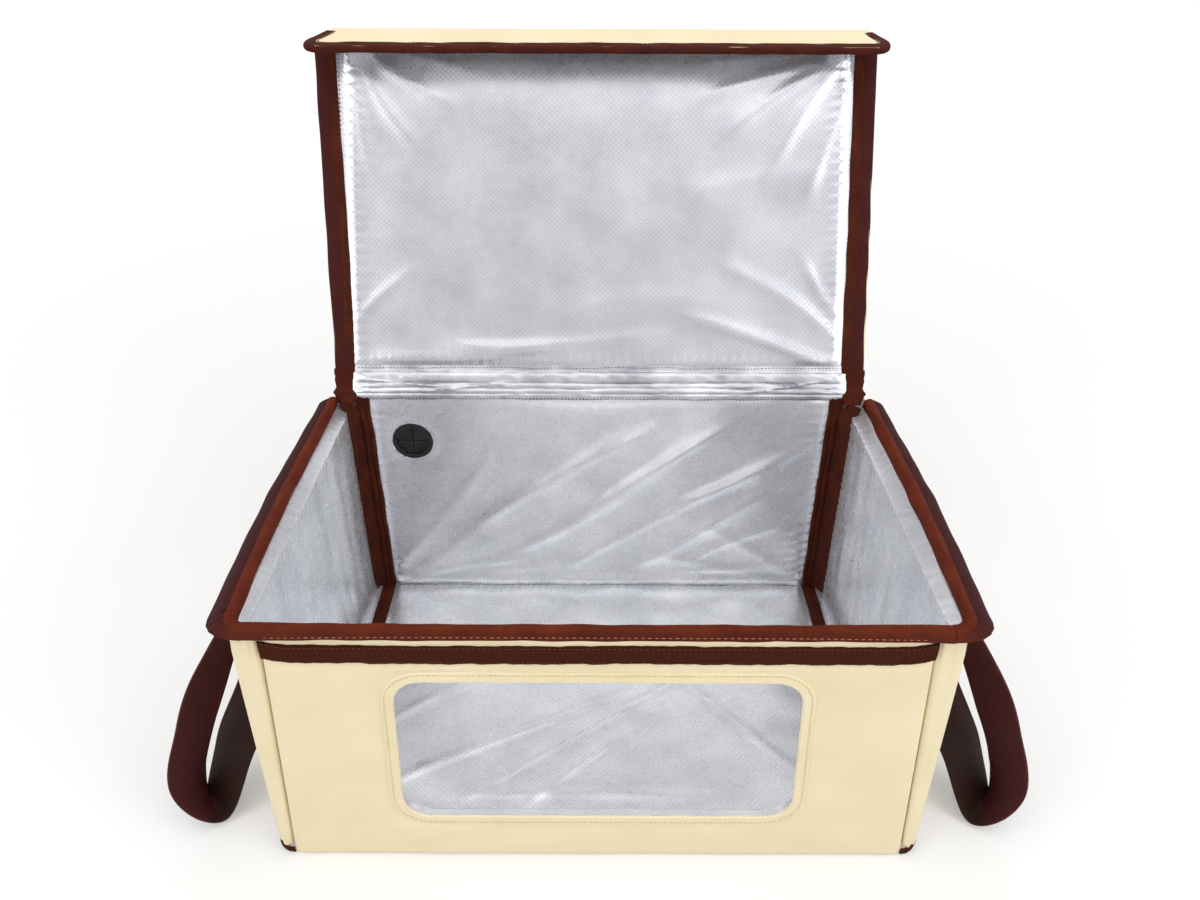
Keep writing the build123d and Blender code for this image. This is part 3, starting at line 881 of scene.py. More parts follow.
@dataclass(frozen=True)
class FoamBoard(Finish):
    """Closed-cell foam board inside the walls: pale, dull, with small cells."""

    def pattern(self, tree: Any, shader: Any) -> None:
        """Small cells, on object coordinates since CAD nodes have no UV map."""
        spot = add_node(tree, "TexCoord").outputs["Object"]
        cells = add_node(tree, "TexVoronoi", {"Vector": spot, "Scale": 700.0})
        pitted = add_node(tree, "Bump", {"Height": cells, "Distance": 0.3 * MM, "Strength": 0.6})
        wire(tree, shader, {"Normal": pitted, "Roughness": 0.85})


@dataclass(frozen=True)
class SewingThread(Finish):
    """Twisted polyester sewing thread: a fine diagonal twist with a soft shine."""

    def pattern(self, tree: Any, shader: Any) -> None:
        """The twist, drawn as slanted bands 0.6 mm apart, about twice as coarse as real."""
        spot = add_node(tree, "TexCoord").outputs["Object"]
        split = add_node(tree, "SeparateXYZ", {0: spot})
        slant = add_node(tree, "Math", {0: split.outputs[0], 1: split.outputs[2]}, operation="ADD")
        slant = add_node(tree, "Math", {0: slant, 1: split.outputs[1]}, operation="ADD")
        twist = threads(tree, slant, 0.6)
        twisted = add_node(tree, "Bump", {"Height": twist, "Distance": 0.08 * MM, "Strength": 0.6})
        wire(tree, shader, {"Normal": twisted, "Roughness": 0.6})


CREAM = CoatedOxford("cream oxford cloth", "cream_cloth", "#EDDFBB")
FOIL = FoilLining("silver foil lining", "foil", "#EDEEF1")
DOTTED_FOIL = FoilLining("silver foil lining with embossed dots", "foil", "#EDEEF1", dots=0.08)
# painted shade: the lid's and the hinge's foil are copies of the same foil, given darker tones for how the light falls
# there
LID_FOIL = FoilLining("silver foil lining of the lid", "foil", "#CDCED4", "#BABBC2", 0.08)
HINGE_FOIL = FoilLining("folded silver foil at the hinge", "foil", "#DEDFE3", "#9C9DA5")
RUST_TAPE = BindingTape("rust brown binding tape", "brown_binding", "#521B0D", "#783315")
BAR_TAPE = BindingTape("brown tape round the lid", "brown_binding", "#3D1309", "#5E2712")
DARK_TAPE = BindingTape("dark brown seam tape", "brown_binding", "#35130A", "#602612")
# the brown of this webbing is painted shade on the strap's rear leg
PLUM_WEBBING = RibbedWebbing("plum and brown webbing", "webbing", "#481B1E")
LOOP_TAPE = LoopPile("dark brown loop tape", "loop_tape", "#331409")
HOOK_TAPE = LoopPile("dark brown hook tape", "loop_tape", "#33150C", "#4A2213")
WINDOW_FILM = ClearFilm("clear vinyl film", "film", "#F2F4F6")
BLACK_RUBBER = MouldedRubber("moulded black rubber", "rubber", "#0C0C0D")
WHITE_FOAM = FoamBoard("white foam board", "foam", "#E9E7E1")
CREAM_THREAD = SewingThread("cream sewing thread", "cream_cloth", "#D9C89B")
TAN_THREAD = SewingThread("tan sewing thread", "brown_binding", "#A4603C")
GREY_THREAD = SewingThread("grey sewing thread", "foil", "#4A4743")
BROWN_THREAD = SewingThread("brown sewing thread", "brown_binding", "#54241A")


# --- the sub-assemblies ---


@dataclass
class Assembly:
    """A sub-assembly: its pieces are built first, then dressed and given to their bodies."""

    made: dict[str, bpy.types.Object] = field(default_factory=dict, init=False)

    def add(
        self,
        name: str,
        rings: Array,
        finish: Finish,
        loop: bool = False,
        marks: dict[str, Array] | None = None,
    ) -> bpy.types.Object:
        """Builds one piece from its sections and notes its finish.

        Args:
            name: the piece's name.
            rings: its closed sections in millimetres.
            finish: the finish that covers it.
            loop: whether its last section joins the first.
            marks: values for its points, kept as attributes.

        Returns:
            The new object.
        """
        piece = mesh_of(name, rings, loop, marks)
        self.made[name] = piece
        finish.cover(piece)
        return piece

    def settle(self, name: str, body: str, *nodes: str) -> bpy.types.Object:
        """Lets a piece ride on a body and stand for its CAD nodes."""
        piece = self.made[name]
        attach(piece, body)
        if nodes:
            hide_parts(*nodes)
        return piece

    def lay(
        self, name: str, body: str, node: str, flat: Sequence[float], board: str, held: str = "stretched"
    ) -> None:
        self.settle(name, body, node)

    def bend(
        self, name: str, bodies: tuple[str, str], start: Sequence[float], end: Sequence[float], *nodes: str
    ) -> bpy.types.Object:
        """Bakes a piece's place into its mesh and hides the CAD nodes it stands for."""
        piece = self.made[name]
        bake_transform(piece)
        if nodes:
            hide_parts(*nodes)
        return piece

    def build(self) -> None:
        """Builds the meshes; each sub-assembly has its own."""

    def dress(self) -> None:
        """Gives the pieces to their bodies; each sub-assembly has its own."""

    def finished(self) -> None:
        """Builds, dresses and reports the sub-assembly."""
        self.build()
        self.dress()
        for name, piece in self.made.items():
            log.info("%s: %s, %d faces", type(self).__name__, name, len(piece.data.polygons))


def flat_sheet(
    a: Array, b: Array, relief: Sequence[Relief], place: Callable, hold: float, thick: float = 1.0,
    tapes: Sequence[tuple[int, float, float]] = (),
) -> Array:
    """Sections of a sheet on a plane, its relief held down at the edges.

    Args:
        a: places along the sheet's first direction.
        b: places along its second direction.
        relief: what lifts the sheet.
        place: turns (a, b, lift) into points.
        hold: how far the edges hold the relief down.
        thick: the sheet's thickness.
        tapes: bands where a tape presses the relief down.

    Returns:
        Closed sections, one for each place of a.
    """
    aa, bb = np.meshgrid(a, b, indexing="ij")
    span = [(a.min(), a.max()), (b.min(), b.max())]
    lift = relief_of(relief, aa, bb) * held_at(aa, bb, span, hold) * pressed(aa, bb, tapes)
    return both_faces(lambda h: place(aa, bb, h), lift, thick)


@dataclass
class FloorPanel(Assembly):
    """The floor: foil on top, cream cloth below and a bound seam down each side."""

    half_x: float = 212.4
    front_y: float = -134.4
    back_y: float = 135.0
    grid: float = 3.0
    seam_near: float = 195.0
    seam_far: float = 207.0

    def build(self) -> None:
        """Builds the lining, the underside and the two seams."""
        relief = (
            Crumple(11, 46, 2.4, lean=60, spread=1.4),
            Swell(12, 70, 0.9),
            Crease((-200, -60), (-40, 60), 3.0, 1.3),
            Crease((-180, -110), (60, 20), 3.5, 1.5),
            Crease((-120, -125), (150, 70), 3.0, 1.2),
            Crease((-60, -120), (40, -30), 2.5, 1.2),
            Crease((190, -120), (40, 40), 3.0, 1.3),
            Crease((-130, -106), (130, -104), 3.0, 0.7),
            Puckers(self.back_y, True, 9, 1.5, 7),
        )
        rows = spaced(-self.half_x, self.half_x, self.grid)
        columns = spaced(self.front_y, self.back_y, self.grid)
        tapes = [(0, side * 201.0 - 7, side * 201.0 + 7) for side in (-1, 1)]
        lining = flat_sheet(rows, columns, relief, lambda a, b, h: np.stack([a, b, FLOOR_Z + h], -1), 4, tapes=tapes)
        self.add("floor_foil", lining, DOTTED_FOIL)
        under = flat_sheet(
            spaced(-self.half_x, self.half_x, 12),
            spaced(-143, 143, 12),
            (),
            lambda a, b, h: np.stack([a, b, -h], -1),
            5,
        )
        self.add("floor_cloth", under, CREAM)
        for side in Side:
            x0 = side.value * self.seam_far
            path = points_at(x0, np.linspace(self.front_y + 0.6, 134.4, 90), FLOOR_Z)
            section = tape_section(self.seam_far - self.seam_near, 1.2, [(2.2, -0.35), (6.5, 0.5), (9.6, -0.35)])
            rings = swept(path, (-side.value, 0, 0), (0, 0, 1), section)
            self.add(f"floor_seam_{side.word}", uneven(rings, 15 + side.value, 0.5, 60), DARK_TAPE)

    def dress(self) -> None:
        """All of it rides on the base."""
        flat = (2 * self.half_x, self.back_y - self.front_y)
        self.lay("floor_foil", "base", "floor_lining", flat, "floor_board", "laid")
        self.lay("floor_cloth", "base", "floor_cover", (2 * self.half_x, 286), "floor_board")
        for side in Side:
            self.settle(f"floor_seam_{side.word}", "base", f"floor_binding_{side.word}")


@dataclass
class BackWall(Assembly):
    """The back wall: foil with the grommet's hole, cream cloth outside, a seam in each corner."""

    low: float = 7.5
    high: float = 212.0
    grid: float = 3.0
    hole: float = 16.4
    grommet: tuple[float, float] = (-162.0, 170.0)
    edge_round: float = 9.0
    seam_near: float = 195.0
    seam_far: float = 206.5

    def bored(self, piece: bpy.types.Object) -> None:
        """Cuts the grommet's round hole through a sheet."""
        turn = np.linspace(0, TAU, 48, endpoint=False)
        x, z = self.grommet
        ring = np.stack([x + self.hole * np.cos(turn), z + self.hole * np.sin(turn)], 1)
        rings = np.stack([np.insert(ring, 1, y, axis=1) for y in (120.0, 160.0)])
        cutter = mesh_of("grommet_cutter", rings, False, None)
        cut = piece.modifiers.new("hole", "BOOLEAN")
        cut.operation, cut.object, cut.solver = "DIFFERENCE", cutter, "EXACT"
        bored = evaluated(piece)
        piece.modifiers.clear()
        piece.data = bored
        bpy.data.objects.remove(cutter)

    def build(self) -> None:
        """Builds the lining, the outer cloth and the seams."""
        relief = (
            Crumple(21, 60, 1.6, lean=115, spread=1.2),
            Swell(22, 90, 0.8),
            *fan((-200.0, 12.0), (210, 210), ((0.16, 5, 1.0), (0.4, 8, 1.2), (0.62, 7, 1.5), (0.95, 5, 0.7))),
            *fan((205, 12), (190, 190), ((2.95, 4, 1.0), (2.62, 5, 1.0))),
            *(
                Crease((x0, z0), (x0 + run, z0 + run * rise), w, h)
                for x0, z0, run, rise, w, h in (
                    (-90, 40, 210, 0.72, 6, 2.4), (-40, 22, 230, 0.68, 3.5, 1.8), (20, 30, 170, 0.62, 7, 2.6),
                    (-120, 70, 150, 0.8, 4, 1.4),
                    (80, 36, 110, 0.55, 3.2, 1.8), (-20, 90, 150, 0.75, 3.0, 1.5), (60, 96, 125, 0.6, 5, 2.0),
                    (-60, 110, 120, 0.72, 3, 0.9),
                    (-180, 20, 130, 0.2, 2.6, 1.2), (30, 16, 150, 0.14, 3, 1.3), (130, 120, 70, 0.9, 2.6, 1.2),
                )
            ),
            Roll(8, 13, 2.2, 23),
            Roll(13, 20, 2.6, 24),
            Puckers(-194, False, 13, 1.8, 8, 25),
            Puckers(194, False, 16, 2.2, 9, 26),
            Halo(self.grommet, 19.4, 1.6, 1.0),
        )
        rows, columns = spaced(-WALL_X, WALL_X, self.grid), spaced(self.low, self.high, self.grid)
        tapes = [(0, side * 204.5 - 10, side * 204.5 + 10) for side in (-1, 1)]
        lining = flat_sheet(rows, columns, relief, lambda a, b, h: np.stack([a, WALL_Y - h, b], -1), 5, 0.9, tapes)
        self.bored(self.add("back_foil", lining, FOIL))
        plan = folded(
            [
                (-OUTER_X, 135.6, 0), (-OUTER_X, OUTER_Y, self.edge_round), (OUTER_X, OUTER_Y, self.edge_round),
                (OUTER_X, 135.6, 0)
            ],
            -1
        )
        waves = (
            Swell(27, 110, 1.4), Swell(28, 40, 0.3), Puckers(BACK_TOP, True, 10, 0.6, 8), Puckers(1, True, 9, 0.7, 9)
        )
        aa, bb = np.meshgrid(spaced(0, plan.length, 3.5), spaced(1.0, 211.5, 3.5), indexing="ij")
        lift = relief_of(waves, aa, bb) * held_at(aa, bb, [(0, plan.length), (1.0, 211.5)], 8)
        cloth = both_faces(lambda off: points_at(*plan.at(aa, off), bb), lift)
        self.bored(self.add("back_cloth", cloth, CREAM))
        for side in Side:
            x0 = side.value * self.seam_far
            path = points_at(x0, WALL_Y, np.linspace(9.4, BACK_TOP, 80))
            section = tape_section(
                self.seam_far - self.seam_near, 1.7, [(1.6, -0.5), (4.6, 0.8), (7.4, -0.8), (9.8, 0.5)]
            )
            rings = swept(path, (-side.value, 0, 0), (0, -1, 0), section)
            self.add(f"back_seam_{side.word}", uneven(rings, 31 + side.value, 0.8, 45), DARK_TAPE)
        turn = np.linspace(0, TAU, 32, endpoint=False)
        disc = [(137.0, 1.0), (137.0, 13.2), (138.2, 13.2), (138.2, 1.0)]
        x, z = self.grommet
        rings = [points_at(x + r * np.cos(turn), y, z + r * np.sin(turn)) for y, r in disc]
        self.add("grommet_membrane", np.stack(rings), BLACK_RUBBER)

    def dress(self) -> None:
        """All of it rides on the base; the grommet stays the CAD's own, in rubber."""
        self.lay("back_foil", "base", "back_lining", (2 * WALL_X, self.high - self.low), "back_board")
        self.lay("back_cloth", "base", "back_cover", (466, 210.5), "back_board")
        for side in Side:
            self.settle(f"back_seam_{side.word}", "base", f"back_binding_{side.word}")
        self.settle("grommet_membrane", "base")
        for node in ("grommet_ring", "grommet_petals"):
            BLACK_RUBBER.cover(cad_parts[node])


def rim_section(front: float, foot: float, swell: float = 0.0) -> tuple[Array, Array]:
    """The rim's section, out from the wall's inner face and up: a roll, and a leg of flat tape.

    Args:
        front: 0 for a side wall's wide leg, 1 for the front wall's narrow band.
        foot: the height at which it ends over the wall.
        swell: how much thicker the roll is.

    Returns:
        The section's points, and for each how far it belongs to the outer leg, the share of painted shade it gets.
    """
    turn = np.radians(np.linspace(208, 42, 16))
    side = [
        (14.9, 211.2), (16.2, 211.3), (18.5, 210.6), (21.0, 209.3), (23.2, 207.3), (24.1, 206.0), (23.6, 205.2),
        (21.5, 206.3), (18.0, 207.8), (15.0, 207.2), (12.6, 206.2)
    ]
    ahead = [
        (12.5, 210.6), (13.1, 210.2), (13.5, 209.3), (13.8, 208.3), (13.8, 207.2), (13.5, 206.3), (13.0, 206.0),
        (12.7, 205.8), (12.6, 205.6), (12.5, 205.4), (12.4, 205.3)
    ]
    centre = np.array([11.0 - 1.5 * front, 209.9 - 0.7 * front])
    roll = centre + (4.0 - 0.3 * front + swell) * np.stack([np.cos(turn), np.sin(turn)], 1)
    leg = np.array(side) * (1 - front) + np.array(ahead) * front + [swell, 0.0]
    section = np.vstack([roll, leg, [(12.2, foot), (10.0, foot), (8.2 - 1.2 * front, foot + 0.6)]])
    return section, np.concatenate([np.zeros(16), [0.5], np.ones(10), np.zeros(3)])


def rim_slide(y: Array, side: Side) -> Array:
    """How far a side rim's roll stands out from its usual line: the front corner draws it in."""
    lean = 3.5 if side is Side.RIGHT else 1.0
    return lean + np.interp(y, [-131, -60, 0, 133], [-5.5, -1.5, 0.3, 0.0])


@dataclass
class SideWall(Assembly):
    """A side wall: foil inside, cream cloth outside, its rim and the seam in its rear corner."""

    side: Side = Side.LEFT
    front_y: float = -134.4
    rear_y: float = 133.0
    top: float = 203.0
    slope: float = 202.3
    turn: float = 6.5
    grid: float = 3.0

    def out(self, x: float) -> float:
        """An x on this side."""
        return self.side.value * x

    def build(self) -> None:
        """Builds the lining, the cloth, the rim and the seam."""
        sign, word = self.side.value, self.side.word
        seed = 40 + 20 * sign
        relief = (
            Swell(seed, 24, 1.0, stretch=7),
            Swell(seed + 1, 11, 0.35, stretch=6),
            Crumple(seed + 2, 50, 1.1, lean=8, spread=0.5),
            Puckers(self.rear_y - 15, False, 8, 0.8, 8, seed + 3),
            Puckers(self.slope, True, 8, 0.7, 9, seed + 4),
        )
        rows = spaced(self.front_y, self.rear_y, self.grid)
        columns = np.concatenate([spaced(1.8, self.slope, self.grid), self.slope + np.array([0.5, 1.2, 3.0, 5.0, 7.0])])

        def place(a: Array, b: Array, h: Array) -> Array:
            """Up the wall, then out over its pinched top to the rim's roll."""
            over = np.clip(b - self.slope, 0, None)
            x = WALL_X - h + over * (8.6 + rim_slide(a, self.side)) / 7.0
            return np.stack([self.out(1) * x, a, np.minimum(b, self.slope) + over * 0.66], -1)

        lining = flat_sheet(rows, columns, relief, place, 5, tapes=[(0, 122, 140)])
        # painted shade: the foil's upturned slope under the rim is darkened to the wall's lit tone below
        turned = 0.3 * np.clip((columns - self.slope) / 1.2, 0, 1)
        self.add(f"{word}_wall_foil", lining, FOIL, marks={"turned": both_ways(turned)})
        wrap = folded([(WALL_X + 1.5, 0.9, 0), (OUTER_X, 0.9, 4.0), (OUTER_X, 202.2, 1.5), (WALL_X + 2, 202.6, 0)], 1)
        waves = (Swell(seed + 5, 90, 1.1), Swell(seed + 6, 35, 0.25), Puckers(200, False, 12, 0.6, 8, seed + 7))
        aa, bb = np.meshgrid(spaced(self.front_y, self.rear_y, 3.5), spaced(0, wrap.length, 3.0), indexing="ij")
        lift = relief_of(waves, aa, bb) * held_at(aa, bb, [(self.front_y, self.rear_y), (8.0, 210.0)], 9)
        tuck = smooth((3.5 - np.minimum(aa - self.front_y, self.rear_y - aa)) / 3.5) * 1.6
        tuck = np.where((bb > 12) & (bb < 214), tuck, 0.0)

        def wrapped(off: Array) -> Array:
            """Round the wall's outside, drawn in a little towards its two ends."""
            x, z = wrap.at(bb, off)
            return points_at(sign * (x - tuck), aa, z)

        self.add(f"{word}_wall_cloth", both_faces(wrapped, lift), CREAM)
        section, tone = rim_section(0.0, RIM_FOOT)
        y = np.linspace(-130.9, 133.0, 130)[:, None]
        loose = np.clip((section[:, 1] - RIM_FOOT) / 4, 0, 1)
        flare = np.interp(y, [-131, 0, 133], [1.6, 2.0, 0.0]) * np.clip((section[:, 0] - 15) / 9, 0, 1)
        x = sign * (WALL_X + section[:, 0] + rim_slide(y, self.side) * loose + flare)
        rings = points_at(x, y, section[:, 1])
        # painted shade: the rim's outer leg, in shade along the side, takes the darker outside colour
        self.add(f"{word}_rim", uneven(rings, seed + 8, 0.6, 50), RUST_TAPE, marks={"outside": tone})
        heights = np.linspace(12.0, self.top + 7.5, 80)
        drift = 5.5 * smooth((heights - 196) / 14) - 1.5 * smooth((18 - heights) / 8)
        path = points_at(self.out(204.6 + drift), 132.9, heights)
        aim = np.array([8.4, -self.turn]) / math.hypot(8.4, self.turn)
        tape = tape_section(math.hypot(8.4, self.turn), 1.5, [(1.8, -0.5), (4.4, 0.9), (7.0, -0.7)])
        rings = swept(path, np.array([sign * aim[0], aim[1], 0]), np.array([sign * aim[1], -aim[0], 0]), tape)
        self.add(f"{word}_corner_seam", uneven(rings, seed + 9, 0.7, 45), DARK_TAPE)

    def dress(self) -> None:
        """All of it rides on the side wall; the bottom of the cloth stays with it when it folds."""
        word = self.side.word
        body = f"{word}_wall"
        self.lay(f"{word}_wall_foil", body, f"{word}_wall_lining", (267.4, 208.5), f"{word}_wall_board")
        self.lay(f"{word}_wall_cloth", body, f"{word}_wall_cover", (267.4, 221), f"{word}_wall_board")
        rim = self.settle(f"{word}_rim", body, f"{word}_wall_rim")
        seam = self.settle(f"{word}_corner_seam", body, f"{word}_wall_corner_tape")
        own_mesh(seam)


@dataclass
class FrontWall(Assembly):
    """The front wall and its skirt: cloth with the window, foil, film, trim, loop tape and rim."""

    half_low: float = 213.8
    half_high: float = 200.8
    low: float = 0.5
    high: float = 203.6
    counts: tuple[int, int, int, int] = (110, 54, 106, 54)
    trim_width: float = 7.0
    strip_low: float = 185.5
    strip_high: float = 199.5
    strip_half: float = 201.0
    strip_rise: float = 3.6
    lip: int = 5

    def outline(self, inset: float = 0.0, top: float = 203.6) -> Array:
        """The panel's own outline, counted in step with the window's."""
        low, high = self.half_low - inset, self.half_high - inset
        corners = [(-low, self.low, 2.5), (low, self.low, 2.5), (high, top, 1), (-high, top, 1)]
        return quartered(rounded(corners, True), np.array([c[:2] for c in corners]), self.counts)

    def opening(self, by: float = 0.0) -> Array:
        """The window's outline grown by a margin, counted in step with the panel's."""
        grown = window_grown(by)
        return quartered(rounded(grown, True), np.array([c[:2] for c in grown]), self.counts)

    def build(self) -> None:
        """Builds every piece of the front."""
        self.build_cloth()
        self.build_foil()
        self.build_window()
        self.build_tapes()

    def build_cloth(self) -> None:
        """The outer cloth round the window, its long edges rolled back."""
        inner, outer = self.opening(), self.outline()
        shares = np.concatenate(
            [[0, 0.012, 0.03, 0.06], np.linspace(0.1, 0.95, 20), [0.965, 0.98, 0.99, 0.996, 1, 1, 1]]
        )
        spots = inner[:, None] + (outer - inner)[:, None] * shares[None, :, None]
        x, z = spots[..., 0], spots[..., 1]
        half = self.half_low + (self.half_high - self.half_low) * (z - self.low) / (self.high - self.low)
        near = np.minimum(half - np.abs(x), 2.4 * (z - self.low) + 1.0)
        roll = 4.0 * (1 - np.sqrt(np.clip(1 - (1 - np.clip(near / 4.0, 0, 1)) ** 2, 0, 1)))
        far = np.linalg.norm(spots - inner[:, None], axis=-1)
        sink = 0.9 * (1 - smooth(far / 2.5))
        waves = (
            Swell(51, 120, 1.5),
            Swell(52, 45, 0.3),
            Puckers(self.high, True, 14, 0.5, 17, 53),
            Puckers(-self.half_high, False, 9, 0.4, 11, 54),
            Puckers(self.half_high, False, 9, 0.4, 11, 55),
        )
        tapes = [(1, self.strip_low - 1, 215.0)]
        lift = relief_of(waves, x, z) * smooth(near / 9) * smooth((far - 8) / 14) * pressed(x, z, tapes)
        front = np.stack([x, -OUTER_Y - lift + roll + sink, z], -1)
        back = np.stack([x, np.minimum(-OUTER_Y + 1.0 + roll, -OUTER_Y + 5.0), z], -1)
        back[:, -3:] += (unit(inner - outer) * 0.8)[:, None, [0, 0, 1]] * [1, 0, 1]
        front[:, -2:, 1] = back[:, -2:, 1] = (-141.0, -137.6)
        self.add("front_cloth", closed_sheet(front, back), CREAM, loop=True)

    def build_foil(self) -> None:
        """The lining, turned forward through the window's opening as far as the film."""
        inner, outer = self.opening(6.3), self.outline(4.0, 208.6)
        shares = np.concatenate([[0] * self.lip, [0.02], np.linspace(0.06, 0.94, 21), [0.96, 0.98, 1.0]])
        spots = inner[:, None] + (outer - inner)[:, None] * shares[None, :, None]
        x, z = spots[..., 0], spots[..., 1]
        far = np.linalg.norm(spots - inner[:, None], axis=-1)
        near = np.minimum(200 - np.abs(x), np.minimum(z - 8, 203 - z))
        waves = (Crumple(56, 55, 1.3, 80, 1.0), Swell(57, 40, 0.8))
        lift = relief_of(waves, x, z) * smooth(near / 8) * smooth(far / 10)
        y = -WALL_Y + lift - 0.1 - np.clip(z - 202.4, 0, None) * 0.95
        depth = np.array([-145.2, -142.5, -139.5, -137.0, -135.7])
        y[:, : self.lip] = depth
        face = np.stack([x, y, np.maximum(z, 3)], -1)
        push = np.where(np.arange(len(shares)) < self.lip, 0.5, 0.0)[None, :, None]
        away = unit(outer - inner)
        hidden = spots + away[:, None, :] * push
        deep = np.stack([hidden[..., 0], np.minimum(y - 0.9, -135.9), np.maximum(hidden[..., 1], 3)], -1)
        deep[:, : self.lip, 1] = depth
        self.add("front_foil", closed_sheet(face, deep), FOIL, loop=True)

    def build_window(self) -> None:
        """The film, and the stitched cloth trim round it."""
        film = flat_sheet(
            spaced(-137.5, 137.5, 5),
            spaced(35, 177, 5),
            (Swell(58, 60, 0.35),),
            lambda a, b, h: np.stack([a * (1.0 - 0.0004 * (b - 35)), -145.9 - h, b], -1),
            12,
            -0.4,
        )
        self.add("window_clear_film", film, WINDOW_FILM)
        line = resampled(rounded(WINDOW, True), 300, closed=True)
        ahead = unit(np.roll(line, -1, axis=0) - np.roll(line, 1, axis=0))
        away = np.stack([ahead[:, 1], np.zeros(len(line)), -ahead[:, 0]], 1)
        path = points_at(line[:, 0], -OUTER_Y + 0.15, line[:, 1]) - away * 1.4
        section = tape_section(self.trim_width + 1.2, 1.35, [(0.9, 0.25), (5.9, -0.45)])
        rings = swept(path, away, (0, -1, 0), section)
        self.add("window_cloth_trim", uneven(rings, 59, 0.22, 30), CREAM, loop=True)

    def strip_bend(self, x: Array) -> Array:
        """How far the loop tape's line rises towards its ends."""
        return self.strip_rise * np.clip((np.abs(x) - 183) / 17, 0, 1) ** 1.6

    def build_tapes(self) -> None:
        """The loop tape and the rim's straight front run."""
        x = spaced(-self.strip_half, self.strip_half, 2.5)
        dice = np.random.default_rng(60)
        sway = sum(np.sin(x / dice.uniform(12, 60) + dice.uniform(0, TAU)) for _ in range(6)) * 0.16
        path = points_at(x, -OUTER_Y - 0.1, self.strip_low + self.strip_bend(x) + sway)
        section = tape_section(self.strip_high - self.strip_low, 1.5, [(1.4, -0.5), (12.6, -0.5)])
        rings = swept(path, (0, 0, 1), (0, -1, 0), section)
        self.add("front_loop_tape", uneven(rings, 61, 0.45, 22), LOOP_TAPE)
        x = np.linspace(-208.8, 208.8, 190)
        ends = smooth((np.abs(x) - 110) / 95)
        sections = np.stack([rim_section(1 - 0.15 * e, 203.4, 0.7 * e)[0] for e in ends])
        rings = points_at(x[:, None], -WALL_Y - sections[..., 0], sections[..., 1])
        # painted shade on the rim's outer leg, weaker here on the lit front
        tone = rim_section(1.0, 203.4)[1]
        self.add("front_rim", uneven(rings, 62, 0.5, 50), RUST_TAPE, marks={"outside": tone * 0.35})

    def dress(self) -> None:
        """The cloth and the foil stay where they are built, in place of their CAD nodes; the rest rides on the front
        wall.
        """
        fold = ("base", "front_wall")
        low, high = (0, -140, FRONT_FOLD - 4), (0, -140, FRONT_FOLD + 4)
        cloth = self.bend("front_cloth", fold, low, high, "front_cover", "front_skirt_cover")
        foil = self.bend("front_foil", fold, low, high, "front_lining", "front_skirt_lining")
        self.lay("window_clear_film", "front_wall", "window_film", (267, 142), "front_board")
        self.settle("window_cloth_trim", "front_wall", "window_trim")
        self.settle("front_loop_tape", "front_wall", "loop_strip")
        self.settle("front_rim", "front_wall", "front_rim_binding")


